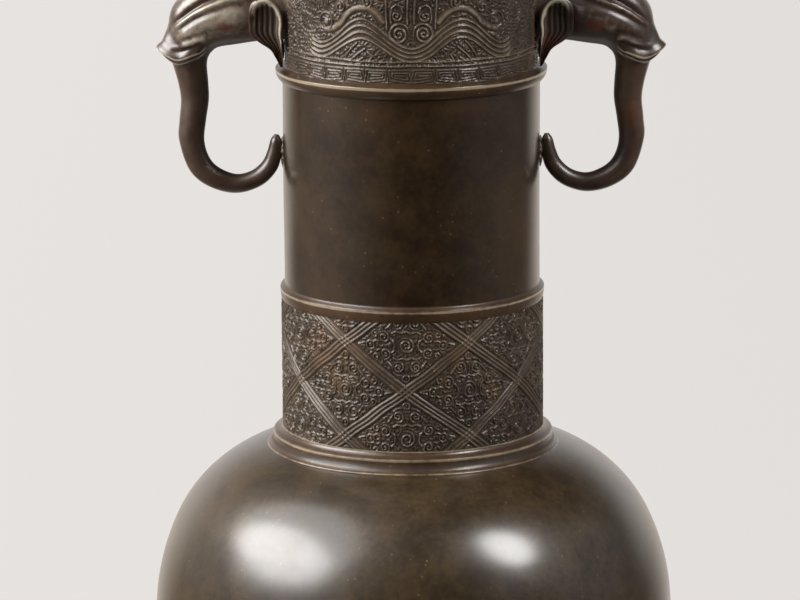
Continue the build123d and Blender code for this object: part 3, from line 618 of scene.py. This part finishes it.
# Middle neck: a plain cast tube of dark waxed bronze, let into the section below it.
# The rings cover both of its joints.
NECK_ROWS = 24
NECK_WALL = 4.4
upper_rib_base = node_mm("upper_rib")[1]
neck_heights = np.linspace(lower_rib_base, upper_rib_base, NECK_ROWS)
bore_r = middle_neck_r - NECK_WALL
plain_profile = outline(
    np.column_stack((np.full(NECK_ROWS, middle_neck_r), neck_heights, 0 * neck_heights)),
    [(bore_r, upper_rib_base, 0), (bore_r, lower_rib_base, 0)],
)
neck_bronze = bronze(
    "plain neck bronze",
    dark=(0.015, 0.0066, 0.0018),
    light=(0.040, 0.0205, 0.0052),
    stain=(0.056, 0.022, 0.007),
    worn=(0.34, 0.24, 0.13),
    specks=0.25,
)
plain_neck = skin("plain_neck", turned(plain_profile), 0.0)
fit(plain_neck, neck_bronze, "vessel_bronze", "middle_neck")


# Upper rib: a cast ring over the joint of the plain neck and the ornamented neck above it.
# Of all the rings its crest is made the brightest, worn and painted as a highlight line.
UPPER_RIB_RUBBING_AND_SHEEN = 1.25
upper_neck_r = node_mm("upper_neck")[0]
hollow_ring("upper_ring", "upper_rib", upper_neck_r, RIB_LEAN, UPPER_RIB_RUBBING_AND_SHEEN)


# Upper neck: a cast tube with a key-fret border, a band of waves, and above the waves a scrolled
# animal mask in front and behind, with rough ground beside the handles.
FRET_UNITS = 34  # round the neck
FRET_HALF = 2.35  # half the border's height
FRET_PITCH = 0.94  # between the lines of a squared coil
FRET_RISES = (7.5, 44.3)  # middles of the lower and the upper border
BORDER_LINES = (10.8, 12.3, 40.2, 41.4)
LINE_HALF = 0.33  # half the width of a line
WAVES = 8  # round the neck
WAVE_MIDDLE = 18.75
WAVE_SWING = 4.15
WAVE_LINES = (-1.5, -0.5, 0.5, 1.5)  # the four ridges across a wave, in spacings
WAVE_SPACING = 1.8
WAVE_SPREAD = 0.25  # how much farther apart the lines are at a crest
WAVE_HALF = 2.9  # half the width of a wave's base
WAVE_BASE = 0.3  # height of that base, as a share of the relief
WAVES_END = 0.84  # sine of the angle from the masks where waves and scrolls end
EYE_RING = (41.6, 24.7, 2.7)  # degrees from a mask's middle, rise and radius
BROW_HALF = 1.1
BROW_POINTS = 33


def flowing(values, at):
    """Values at steps along a smooth curve through stations: cubic pieces with their neighbours' slopes."""
    slopes = np.gradient(values, axis=0)
    k = np.minimum(at.astype(int), len(values) - 2)
    t = (at - k)[:, None]
    return (
        (1 + 2 * t) * (1 - t) ** 2 * values[k] + t * (1 - t) ** 2 * slopes[k]
        + t**2 * (3 - 2 * t) * values[k + 1] - t**2 * (1 - t) * slopes[k + 1]
    )


def key_fret(turn, rise):
    """A border of squared coils: lines at even steps in from each unit's edges, drifting along its base."""
    half_unit = np.pi * upper_neck_r / FRET_UNITS
    unit = turn * FRET_UNITS / (2 * np.pi)
    x = (unit - np.floor(unit) - 0.5) * 2 * half_unit
    x = np.where(np.floor(unit) % 2 == 0, x, -x)
    reach = np.maximum(np.abs(x) - half_unit + FRET_HALF, np.abs(rise))
    below = np.clip(-rise / FRET_HALF * 4, 0, 1)
    turns = reach / FRET_PITCH + 0.5 * below * np.clip(x / half_unit, -1, 1)
    return ridge((turns - np.round(turns)) * FRET_PITCH, SCROLL_HALF) * (np.abs(rise) < FRET_HALF + 0.2)


def waves_and_masks(turn, rise):
    """The upper ornament's height from 0 to 1 at an angle from the front and a height above the rib's seat.

    Borders run right round, and waves too but for a rough stretch beside each handle. The masks are in
    front and behind, so the angle is folded to the one from the nearer of them, and coils, lines, beads
    and thick brows are drawn once there.
    """
    bent = turn + hand_waver(turn, rise, 0.1) / upper_neck_r
    high = rise + hand_waver(turn + 1, rise, 0.12)
    swing = np.cos(WAVES * bent)
    slope = WAVE_SWING * WAVES * np.sin(WAVES * bent) / upper_neck_r
    off_wave = (high - WAVE_MIDDLE + WAVE_SWING * swing) / np.sqrt(1 + slope**2)
    spacing = (WAVE_SPACING - WAVE_SPREAD * swing) / np.sqrt(1 + slope**2)
    gaps = [np.abs(off_wave - line * spacing) for line in WAVE_LINES]
    fold = np.abs((bent + np.pi / 2) % np.pi - np.pi / 2)
    degree = np.radians(1) * (upper_neck_r + RELIEF)
    x = np.degrees(fold) * degree
    for angle, middle, radius, pitch, sense in (
        (5.5, 21.6, 3.3, 1.45, 1),
        (6.4, 27.4, 1.7, 1.2, -1),
        (20.4, 31.8, 1.9, 1.2, 1),
        (33.5, 29.8, 1.7, 1.2, -1),
        (6.6, 34.8, 2.2, 1.2, 1),
        (15.2, 36.6, 1.8, 1.2, -1),
        (27.0, 36.0, 2.1, 1.2, 1),
        (38.6, 34.6, 2.1, 1.2, -1),
    ):
        gaps.append(coil_gap(x - angle * degree, high - middle, radius, pitch, sense))
    eye_angle, eye_rise, eye_radius = EYE_RING
    gaps.append(np.abs(np.hypot(x - eye_angle * degree, high - eye_rise) - eye_radius))
    for path in (
        ((3.4, 28.4), (4.2, 30.4), (6.6, 31.2), (8.6, 30.0), (9.2, 27.2), (8.8, 25.0)),
        ((10.8, 23.2), (11.0, 28.0), (11.4, 33.0), (12.6, 37.0)),
        ((30.5, 13.5), (28.0, 16.2), (25.1, 18.5)),
        ((27.7, 12.6), (24.4, 14.9), (21.1, 16.8)),
        ((25.1, 12.2), (22.0, 13.5)),
        ((19.9, 15.6), (17.6, 14.4), (19.1, 12.6), (15.6, 12.9)),
        ((20.4, 34.0), (23.6, 33.4), (25.6, 34.2)),
        ((29.0, 31.4), (31.0, 33.0), (34.0, 33.2), (37.4, 31.6)),
        ((1.5, 24.8), (1.6, 30.0), (1.8, 36.0), (3.0, 38.6)),
        ((43.2, 30.0), (44.4, 33.0), (44.8, 38.0)),
    ):
        gaps.append(line_gap(x, high, [(angle * degree, z) for angle, z in path]))
    brow = np.array((
        (12.4, 25.4), (14.2, 27.1), (17.6, 29.0), (22.0, 29.7), (26.4, 29.0), (30.0, 27.0), (33.0, 24.3),
        (37.4, 22.4), (41.5, 21.6),
    ))
    brow = flowing(brow, np.linspace(0, len(brow) - 1, BROW_POINTS))
    brow_gap = line_gap(x, high, brow * (degree, 1))
    shown = np.clip((WAVES_END - np.abs(np.sin(turn))) / 0.08, 0, 1)
    base = WAVE_BASE * np.clip((WAVE_HALF - np.abs(off_wave)) / EDGE_FADE, 0, 1)
    form = base + (1 - base) * ridge(np.minimum.reduce(gaps), LINE_HALF)
    for angle, middle, radius in ((41.4, 24.4, 1.3), (39.5, 20.0, 0.8)):
        bead_gap = np.hypot(x - angle * degree, high - middle)
        form = np.maximum(form, np.sqrt(np.clip(1 - (bead_gap / radius) ** 2, 0, 1)))
    form = shown * np.maximum(form, 0.9 * np.sqrt(np.clip(1 - (brow_gap / BROW_HALF) ** 2, 0, 1)))
    for line in BORDER_LINES:
        form = np.maximum(form, ridge(high - line, LINE_HALF))
    for middle in FRET_RISES:
        form = np.maximum(form, 0.7 * key_fret(bent, high - middle))
    clear = np.minimum(np.minimum.reduce(gaps), np.maximum(brow_gap - 0.8, 0)) + 5 * (1 - shown)
    clear = clear * (rise > BORDER_LINES[0]) * (rise < BORDER_LINES[-1])
    return np.maximum(form, ground(turn, rise, upper_neck_r, clear))


mouth_rib_base = node_mm("mouth_rib")[1]
ornamented("wave_neck", "upper_neck", upper_neck_r, upper_rib_base, mouth_rib_base, waves_and_masks)


# Mouth rib: the same cast ring as below, in the ribs' bronze, over the joint of the ornamented neck
# and the mouth.
MOUTH_STEP = 1.0  # from the neck's ground in to the mouth's wall
mouth_r = upper_neck_r - MOUTH_STEP
hollow_ring("mouth_ring", "mouth_rib", mouth_r, RIB_LEAN)


# Mouth: a flared casting in the vessel's bronze, let into the neck, with a thick flat lip that is
# rubbed along its edge.
LIP_THICKNESS = 4.6
LIP_OVERHANG = 3.4
LIP_WALL = 3.2
MOUTH_WALL = 2.2
MOUTH_STRAIGHT = 8.0  # height of the wall below the flare
lip_r, _, lip_top = node_mm("mouth")
bore_mouth_r = mouth_r - MOUTH_WALL
flare_top_r = lip_r - LIP_OVERHANG
flare_base = mouth_rib_base + MOUTH_STRAIGHT
mouth_profile = outline(
    [(mouth_r, mouth_rib_base, 0)],
    hollow((mouth_r, flare_base), (flare_top_r, lip_top - LIP_THICKNESS), 18),
    [(lip_r, lip_top - LIP_THICKNESS, 1.6), (lip_r, lip_top, 1.6), (flare_top_r - LIP_WALL, lip_top, 0.8)],
    hollow((bore_mouth_r, flare_base), (flare_top_r - LIP_WALL - 1, lip_top - 1.5), 14)[::-1],
    [(bore_mouth_r, mouth_rib_base, 0)],
)
lip_wear = np.exp(-(((mouth_profile[:, :1] - lip_r) / 1.4) ** 2)) * 0.7
mouth = skin("flared_mouth", turned(mouth_profile), lip_wear)
fit(mouth, vessel_bronze, "vessel_bronze", "mouth")


# Handles: an elephant's head on each side with its trunk hung down and curled back to the neck.
# Head, ears, lip and trunk are one solid casting in a redder, glossier bronze.
HEAD_ROWS = 300
TRUNK_ROWS = 100
HANDLE_COLUMNS = 168
TRUNK_STATION = 9  # where the trunk begins
# stations along head and trunk: chin or inner side, crown or outer side, each as reach from the axis
# and rise above the upper neck's foot, then half the width
HANDLE_STATIONS = np.array((
    (39.0, 13.6, 39.0, 31.0, 8.0),
    (50.0, 13.1, 50.0, 32.2, 8.6),
    (58.8, 11.9, 60.0, 33.8, 9.8),
    (64.5, 11.0, 69.0, 33.3, 10.0),
    (66.9, 9.4, 75.5, 29.7, 9.2),
    (67.9, 8.0, 80.2, 24.0, 8.0),
    (68.4, 6.6, 81.3, 17.2, 6.9),
    (68.6, 4.6, 81.3, 10.6, 6.4),
    (68.5, 2.6, 79.7, 4.0, 5.7),
    (68.2, -1.6, 78.2, -1.8, 5.0),
    (68.1, -7.0, 77.5, -7.2, 4.7),
    (69.1, -13.8, 78.1, -13.8, 4.5),
    (69.8, -20.6, 78.3, -20.8, 4.2),
    (68.4, -26.3, 74.9, -31.1, 3.9),
    (65.2, -30.1, 68.4, -36.7, 3.6),
    (59.4, -32.5, 59.4, -39.0, 3.3),
    (54.1, -31.4, 50.9, -36.6, 3.0),
    (50.3, -28.2, 45.6, -31.4, 2.7),
    (48.5, -24.3, 43.8, -25.6, 2.4),
    (47.5, -20.8, 43.8, -21.2, 1.9),
    (46.3, -19.0, 44.7, -19.1, 0.8),
))


def upper_lip(x, z):
    """How far the upper lip stands out at a place in side view, and how worn its rims are.

    Its rim rises from the sides to a point in front and to the corner of the mouth. Above the rim it
    flares from the snout, and below the rim it turns under in two round folds.
    """
    front = np.clip((x - 77.0) / 4.3, 0, 1)
    corner = np.clip((78.5 - x) / 9.0, 0, 1)
    above = z - 7.7 - 3.6 * front**1.8 - 4.2 * corner**1.5
    below = -above
    flare = 0.45 * ridge(above, 1.2) + 0.55 * ridge(above, 2.6 + 2.4 * front)
    first_fold = np.clip(1 - (below / 1.15) ** 2, 0, 1) ** 0.6
    second_fold = 0.66 * np.clip(1 - ((below - 1.5) / 1.15) ** 2, 0, 1) ** 0.6
    turned_under = np.maximum.reduce((first_fold, second_fold, 0.3 * ridge(below, 3.0)))
    reach = (1.1 + 3.1 * front**1.5) * np.clip((x - 68.8) / 2.5, 0, 1)
    worn = np.maximum(ridge(above + 0.2, 0.5), 0.7 * ridge(above + 1.8, 0.4)) * np.clip((x - 70.5) / 2, 0, 1)
    return reach * np.where(above > 0, flare, turned_under), worn


def head_and_trunk(rubbing_and_sheen):
    """The head and trunk as one tapering sweep: an oval at each station, raised by its place in side view.

    The oval runs from the inner to the outer side and to half the width each way. Folds, cheek and lip
    stand out square to it, and grooves sink in, by how near the place is to their lines. The head is painted
    lighter towards its top by that much, as worn metal and painted sheen, but for its inner side, which is
    painted darker as shade.
    """
    last = len(HANDLE_STATIONS) - 1
    head_steps = np.linspace(0, TRUNK_STATION, HEAD_ROWS, endpoint=False)
    along = flowing(HANDLE_STATIONS, np.append(head_steps, np.linspace(TRUNK_STATION, last, TRUNK_ROWS)))
    inner, outer, half = along[:, None, 0:2], along[:, None, 2:4], along[:, None, 4]
    turn = np.linspace(0, 2 * np.pi, HANDLE_COLUMNS, endpoint=False)
    flat = (inner + outer) / 2 + (outer - inner) / 2 * np.cos(turn)[:, None]
    x, z = flat[:, :, 0], flat[:, :, 1]
    smooth = np.dstack((x, half * np.sin(turn), upper_rib_base + z))
    square = np.cross(np.gradient(smooth, axis=0), np.roll(smooth, -1, axis=1) - np.roll(smooth, 1, axis=1))
    square = square / np.linalg.norm(square, axis=2, keepdims=True)
    side = np.abs(np.sin(turn)) ** 1.5
    fade = np.clip((81.0 - x) / 5.0, 0, 1) * np.clip((x - 51.0) / 7.0, 0, 1)
    carved, worn = np.zeros_like(x), np.zeros_like(x)
    for depth, half_width, path in (
        (1.4, 4.8, ((74.0, 15.0), (69.6, 17.8), (64.4, 20.8), (57.0, 22.6), (44.0, 23.4))),
        (1.1, 2.0, ((79.8, 22.4), (77.2, 25.8), (73.0, 28.9), (66.0, 31.6))),
        (-1.1, 0.8, ((80.0, 19.4), (77.2, 21.4), (73.3, 24.6), (70.0, 26.8), (64.0, 29.4), (58.0, 30.4))),
        (0.8, 0.8, ((78.6, 18.8), (75.4, 21.4), (72.2, 23.6), (68.2, 25.6), (62.0, 27.8), (56.0, 29.2))),
        (-0.3, 0.9, ((77.0, 18.2), (72.0, 21.6), (67.0, 24.0), (61.0, 26.0), (52.0, 27.6))),
        (0.45, 0.8, ((69.4, 15.4), (71.6, 14.9), (74.4, 13.4), (77.4, 11.9), (79.6, 11.6))),
        (-0.45, 0.7, ((70.6, 13.6), (73.2, 12.4), (76.4, 10.6), (79.0, 10.2))),
        (-0.3, 0.8, ((68.4, 17.4), (72.0, 16.6), (76.0, 14.6))),
    ):
        fold = depth * fade * side * ridge(line_gap(x, z, path), half_width)
        carved = carved + fold
        # Thin folds are worn lighter and broad swellings a little; the grooves, with depth below nought, are
        # painted darker as shade.
        worn = worn + (0.55 if half_width < 1.5 else 0.16) * fold
    lip, lip_worn = upper_lip(x, z)
    points = smooth + square * (carved + lip)[:, :, None]
    # Painted shade: the inner side under the head and trunk is darkened. Painted sheen: the head is lightened
    # towards its top, along with its worn metal.
    under = np.clip((-np.cos(turn) - 0.55) / 0.35, 0, 1) * np.clip((x - 44.0) / 4.0, 0, 1)
    wear_sheen_and_shade = worn + rubbing_and_sheen * np.clip((z - 8.0) / 7.0, 0, 1) * (1 - under) - 0.4 * under
    return points, np.clip(wear_sheen_and_shade + lip_worn, -0.5, 1)


handle_bronze = bronze(
    "handle bronze",
    dark=(0.046, 0.023, 0.014),
    light=(0.092, 0.053, 0.032),
    stain=(0.125, 0.034, 0.014),
    # a pale cream for worn edges that also paints the highlights on the ear rims and the upper heads
    worn=(0.56, 0.49, 0.37),
    specks=0.0,
    bump=0.14,
    gloss=0.33,
)
# a blush of red oxide on each cheek: reach of its middle from the axis, rise above the upper neck's foot,
# stretch along the head, size of its ragged edge, where it fades out and where it is full
BLUSH_REACH = 61.8
BLUSH_RISE = 19.0
BLUSH_STRETCH = 0.62
BLUSH_RAGGED = 5.0
BLUSH_OUT = 5.4
BLUSH_FULL = 2.4
BLUSH_COLOUR = (0.20, 0.035, 0.012, 1.0)
tree = handle_bronze.node_tree
shader = tree.nodes["Principled BSDF"]
plain = shader.inputs["Base Color"].links[0].from_socket
place = tree.nodes.new("ShaderNodeTexCoord").outputs["Object"]
parts = add_node(tree, "ShaderNodeSeparateXYZ", {0: place}).outputs
along_head = maths(tree, "SUBTRACT", maths(tree, "ABSOLUTE", parts["X"], 0.0), BLUSH_REACH * MM)
along_head = maths(tree, "POWER", maths(tree, "MULTIPLY", along_head, BLUSH_STRETCH), 2.0)
up_head = maths(tree, "SUBTRACT", parts["Z"], (upper_rib_base + BLUSH_RISE) * MM)
up_head = maths(tree, "POWER", up_head, 2.0)
stray = maths(tree, "SQRT", maths(tree, "ADD", along_head, up_head), 0.0)
ragged = maths(tree, "MULTIPLY", noise(tree, place, 420, 3), BLUSH_RAGGED * MM)
stray = maths(tree, "ADD", stray, ragged)
blush = maths(tree, "MULTIPLY", ramp(tree, stray, BLUSH_OUT * MM, BLUSH_FULL * MM), 0.7)
tree.links.new(blend(tree, blush, plain, BLUSH_COLOUR), shader.inputs["Base Color"])

# stations down an ear: rise above the upper neck's foot, reach of its middle from the axis, half the width
EAR_STATIONS = np.array((
    (28.9, 49.2, 0.7),
    (28.4, 49.1, 2.6),
    (27.0, 48.8, 4.5),
    (24.6, 48.6, 5.4),
    (20.6, 48.5, 5.6),
    (17.0, 48.5, 5.3),
    (14.5, 47.2, 4.2),
    (11.6, 45.1, 2.1),
    (9.0, 44.1, 1.4),
    (5.4, 43.3, 0.4),
))
EAR_ARCH = 20.6  # where the round top of an ear begins
EAR_HALF = 5.6  # half the width there
EAR_OUT = 9.0  # how far beside the head's middle an ear hangs
EAR_ROWS = 100
EAR_COLUMNS = 84


def ear_leaf(side):
    """One ear: a deep cup hung from the head, round at its top and drawn down to a point beside the neck.

    Across each station the leaf dips from a thin front edge to a striped hollow and climbs to a rolled
    rear rim, which runs on round the arch at the top. The face and the back meet at the edges.
    """
    along = flowing(EAR_STATIONS, np.linspace(0, len(EAR_STATIONS) - 1, EAR_ROWS))
    rise, middle, half = along[:, :1], along[:, 1:2], along[:, 2:]
    turn = np.linspace(0, 2 * np.pi, EAR_COLUMNS, endpoint=False)
    across = np.cos(turn)
    face = np.sin(turn)
    arch = np.clip((rise - EAR_ARCH) / (EAR_STATIONS[0, 0] - EAR_ARCH), 0, 1)
    edge = np.where(arch > 0, np.hypot(across * half / EAR_HALF, arch), np.abs(across))
    rear = np.clip(0.55 - 0.6 * across + arch, 0.2, 1)
    rim = ridge(edge - 0.88, 0.12) * rear
    cupped = np.clip(0.75 - 0.25 * across + arch, 0, 1) * np.clip(half / 3, 0, 1)
    dish = 2.4 * np.clip(edge, 0, 1) ** 2.2 * cupped
    stripes = 0.25 * np.cos(across * 19) * (face > 0) * (1 - rim) * (edge < 0.8)
    thick = 0.55 * np.abs(face) ** 0.5 * np.sign(face)
    out = EAR_OUT + dish + (thick + rim * (face > 0) + stripes) * np.clip(half / 1.6, 0.3, 1)
    x = middle + across * half
    points = np.dstack((x, side * out, upper_rib_base + rise + 0 * across))
    # The rear rim is painted bright, as worn metal and a painted highlight, less so lower down; the hollow
    # inside it is painted darker as shade.
    lower_fade = np.clip((rise - 6.0) / 14.0, 0.2, 1)
    hollow_shade = 0.35 * (face > 0) * np.clip((0.8 - edge) / 0.2, 0, 1)
    worn = 1.3 * rim * (face > -0.2) * lower_fade + np.clip(2.8 * stripes, -0.3, 0.7) - hollow_shade
    return points, np.clip(worn, -0.5, 1)


def handle_side(name, mirror, rubbing_and_sheen):
    """One handle: its head and two ears joined, mirrored across the vessel's middle for the left."""
    shells = []
    for shape, (points, worn) in (
        ("head", head_and_trunk(rubbing_and_sheen)), ("near_ear", ear_leaf(-1)), ("far_ear", ear_leaf(1)),
    ):
        points = points * (mirror, 1, 1)
        shells.append(skin(f"{name}_{shape}", points, worn, capped=True))
    with bpy.context.temp_override(active_object=shells[0], selected_editable_objects=shells):
        bpy.ops.object.join()
    return shells[0]


# The left head is painted lighter than the right: painted sheen for the lamps on the left, over its worn
# metal.
for side_name, mirror, rubbing_and_sheen in (("left", -1, 0.38), ("right", 1, 0.22)):
    handle = handle_side(f"{side_name}_elephant", mirror, rubbing_and_sheen)
    fit(handle, handle_bronze, "handle_bronze", f"{side_name}_handle")


# Pins: rivets driven from inside the neck into the heads, seen only down the mouth.
# They keep their CAD shape and take the handles' bronze.
for side_name in ("left", "right"):
    for level in ("lower", "upper"):
        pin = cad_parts[f"{side_name}_{level}_pin"]
        pin.data.materials.clear()
        pin.data.materials.append(handle_bronze)


# Solder: a dull yellowish seam run between each trunk's tip and the plain neck.
# It is run in by hand, so it is lumpy.
SEAM_DROP = 25.0  # from the upper rib's seat down to the seam's middle
SEAM_LENGTH = 5.4  # half of it
SEAM_WIDTH = 2.1  # half of it
SEAM_THICKNESS = 0.7
SEAM_STAND = 0.15  # how far the seam's middle stands off the neck's wall
SEAM_ROWS = 40
SEAM_COLUMNS = 20
solder_metal = bronze(
    "solder",
    dark=(0.11, 0.085, 0.05),
    light=(0.19, 0.15, 0.09),
    stain=(0.08, 0.06, 0.04),
    worn=(0.28, 0.22, 0.13),
    grain=0.9,
    bump=0.3,
)


def solder_seam(mirror):
    """A lumpy seam: a flattened bead along the neck's wall, thick in the middle and thin at both ends."""
    t = np.linspace(-0.98, 0.98, SEAM_ROWS)[:, None]
    turn = np.linspace(0, 2 * np.pi, SEAM_COLUMNS, endpoint=False)
    swell = np.sqrt(1 - t**2) * (1 + 0.18 * np.sin(9 * t) + 0.10 * np.sin(17 * t + 1))
    out = SEAM_THICKNESS * swell * np.cos(turn)
    wide = SEAM_WIDTH * swell * np.sin(turn)
    x = np.sqrt(middle_neck_r**2 - wide**2) + SEAM_STAND + out
    z = upper_rib_base - SEAM_DROP + SEAM_LENGTH * t + 0 * turn
    return np.dstack((mirror * x, wide, z))


for side_name, mirror in (("left", -1), ("right", 1)):
    seam = skin(f"{side_name}_solder_seam", solder_seam(mirror), 0.3, capped=True)
    fit(seam, solder_metal, "solder", f"{side_name}_trunk_solder")


# Floor: a wide pale sweep that the vase stands on. Far out it glows an even pale grey, as a lit
# backdrop does, and towards the front mirrors see it fall away into the dark of the room.
PALE = (0.80, 0.77, 0.745, 1.0)
FLOOR_PAINT = (0.47, 0.452, 0.438, 1.0)  # comes out as pale as the glow under the lamps
WARM = (0.82, 0.745, 0.66, 1.0)  # the floor as the bronze mirrors it
FLOOR_REACH = 8.0
floor_corners = np.array(((-1, -1, 0), (1, -1, 0), (1, 1, 0), (-1, 1, 0))) * FLOOR_REACH
floor_mesh = bpy.data.meshes.new("floor")
floor_mesh.from_pydata(floor_corners, [], [(0, 1, 2, 3)])
floor = bpy.data.objects.new("floor", floor_mesh)
bpy.context.collection.objects.link(floor)
floor_paint = bpy.data.materials.new("pale floor")
floor_paint.use_nodes = True
tree = floor_paint.node_tree
tree.nodes.clear()
place = tree.nodes.new("ShaderNodeTexCoord").outputs["Object"]
parts = add_node(tree, "ShaderNodeSeparateXYZ", {0: place}).outputs
distance = add_node(tree, "ShaderNodeVectorMath", {0: place}, operation="LENGTH").outputs["Value"]
far = ramp(tree, distance, 0.17, 0.42)
behind = ramp(tree, maths(tree, "DIVIDE", parts["Y"], distance), 0.48, 0.92)
aside = maths(tree, "DIVIDE", parts["X"], distance)
leftward = maths(tree, "MULTIPLY", ramp(tree, aside, -0.35, -1.05), 0.17)
rightward = maths(tree, "MULTIPLY", ramp(tree, aside, 0.4, 1.0), 0.045)
mirrored = maths(tree, "ADD", maths(tree, "ADD", leftward, rightward), 0.015)
mirrored = maths(tree, "MAXIMUM", maths(tree, "MULTIPLY", behind, 0.85), mirrored)
path = tree.nodes.new("ShaderNodeLightPath").outputs
seen = maths(tree, "SUBTRACT", 1.0, maths(tree, "MULTIPLY", ramp(tree, parts["X"], -0.3, 0.3), 0.05))
seen = maths(tree, "MULTIPLY", seen, path["Is Camera Ray"])
mirrored = maths(tree, "MULTIPLY", mirrored, path["Is Glossy Ray"])
glow = maths(tree, "ADD", seen, mirrored)
glow = maths(tree, "ADD", glow, maths(tree, "MULTIPLY", path["Is Diffuse Ray"], 0.2))
lit = add_node(tree, "ShaderNodeBsdfDiffuse", {"Color": FLOOR_PAINT}).outputs["BSDF"]
tone = blend(tree, path["Is Glossy Ray"], PALE, WARM)
even = add_node(tree, "ShaderNodeEmission", {"Color": tone, "Strength": glow}).outputs["Emission"]
glowing = maths(tree, "MAXIMUM", far, path["Is Glossy Ray"])
mixed = add_node(tree, "ShaderNodeMixShader", {0: glowing, 1: lit, 2: even}).outputs["Shader"]
add_node(tree, "ShaderNodeOutputMaterial", {"Surface": mixed})
floor_mesh.materials.append(floor_paint)


# Light: at the left an oval lamp in front of a wider one, a small lamp at the front right, a dim one at
# the far right, and a pale room round them.
LAMP_AIM = 0.16  # height that the lamps are turned to


def soft_lamp(name, azimuth, elevation, distance, width, height, power):
    """An oval area lamp at an azimuth from the front and an elevation, turned to the belly."""
    lamp = bpy.data.lights.new(name, "AREA")
    lamp.shape = "ELLIPSE"
    lamp.size = width
    lamp.size_y = height
    lamp.energy = power
    box = bpy.data.objects.new(name, lamp)
    bpy.context.collection.objects.link(box)
    turn, tilt = np.radians(azimuth), np.radians(elevation)
    away = np.array((np.sin(turn) * np.cos(tilt), -np.cos(turn) * np.cos(tilt), np.sin(tilt)))
    box.location = away * distance + np.array((0, 0, LAMP_AIM))
    box.rotation_euler = (np.pi / 2 - tilt, 0, turn)


soft_lamp("left_lamp", -74, 33.5, 1.1, 1.06, 0.60, 9.8)
soft_lamp("left_glow", -76, 42, 1.25, 1.5, 1.3, 10.5)
soft_lamp("right_lamp", 56.5, 44, 1.1, 0.37, 0.54, 5.4)
soft_lamp("right_glow", 92, 20, 1.25, 1.2, 0.9, 0.4)
world = bpy.data.worlds.new("pale room")
bpy.context.scene.world = world
world.use_nodes = True
tree = world.node_tree
tree.nodes.clear()
direction = tree.nodes.new("ShaderNodeTexCoord").outputs["Generated"]
parts = add_node(tree, "ShaderNodeSeparateXYZ", {0: direction}).outputs
path = tree.nodes.new("ShaderNodeLightPath").outputs
low = ramp(tree, parts["Z"], 0.6, 0.15)
behind = ramp(tree, parts["Y"], 0.45, 0.88)
backdrop = maths(tree, "MULTIPLY", low, behind)
overhead = maths(tree, "MULTIPLY", ramp(tree, parts["Z"], 0.2, 0.9), ramp(tree, parts["X"], 0.3, -0.5))
left_back = maths(tree, "MULTIPLY", ramp(tree, parts["Y"], -0.1, 0.6), ramp(tree, parts["X"], -0.2, -0.7))
mirrored = maths(tree, "ADD", maths(tree, "MULTIPLY", backdrop, 0.85), maths(tree, "MULTIPLY", overhead, 0.3))
mirrored = maths(tree, "MAXIMUM", mirrored, maths(tree, "MULTIPLY", left_back, 0.4))
left_wall = maths(tree, "MULTIPLY", ramp(tree, parts["X"], -0.5, -1.0), 5.6)
right_wall = maths(tree, "MULTIPLY", ramp(tree, parts["X"], 0.6, 1.0), 4.8)
spread = maths(tree, "ADD", maths(tree, "ADD", left_wall, right_wall), 0.02)
seen = add_node(
    tree, "ShaderNodeMix", {0: path["Is Glossy Ray"], 2: spread, 3: mirrored}, data_type="FLOAT"
).outputs[0]
seen = add_node(
    tree, "ShaderNodeMix", {0: path["Is Camera Ray"], 2: seen, 3: 1.0}, data_type="FLOAT"
).outputs[0]
sky = add_node(tree, "ShaderNodeBackground", {"Color": PALE, "Strength": seen}).outputs["Background"]
add_node(tree, "ShaderNodeOutputWorld", {"Surface": sky})
bpy.context.scene.view_settings.view_transform = "Standard"


# Camera: a long lens a little above the neck, turned a touch so that the vase leans as in the photo.
LENS = 225.0
SENSOR = 36.0
CAMERA_DISTANCE = 1.696
CAMERA_ELEVATION = np.radians(12.2)
CAMERA_ROLL = np.radians(0.28)
AIM_HEIGHT = 0.2297
AIM_OFFSET = 0.00417  # how far left of the vessel's axis the camera stands
CLIP_END = 50.0
back = np.array((0, -np.cos(CAMERA_ELEVATION), np.sin(CAMERA_ELEVATION)))
upright = np.array((0, np.sin(CAMERA_ELEVATION), np.cos(CAMERA_ELEVATION)))
level = np.array((1.0, 0, 0))
right_axis = level * np.cos(CAMERA_ROLL) - upright * np.sin(CAMERA_ROLL)
up_axis = upright * np.cos(CAMERA_ROLL) + level * np.sin(CAMERA_ROLL)
camera_data = bpy.data.cameras.new("camera")
camera_data.lens = LENS
camera_data.sensor_width = SENSOR
camera_data.clip_end = CLIP_END
camera = bpy.data.objects.new("camera", camera_data)
bpy.context.collection.objects.link(camera)
spot = np.array((0, 0, AIM_HEIGHT)) + back * CAMERA_DISTANCE - right_axis * AIM_OFFSET
matrix = np.eye(4)
matrix[:3, 0] = right_axis
matrix[:3, 1] = up_axis
matrix[:3, 2] = back
matrix[:3, 3] = spot
camera.matrix_world = matrix.T.tolist()  # column by column
bpy.context.scene.camera = camera
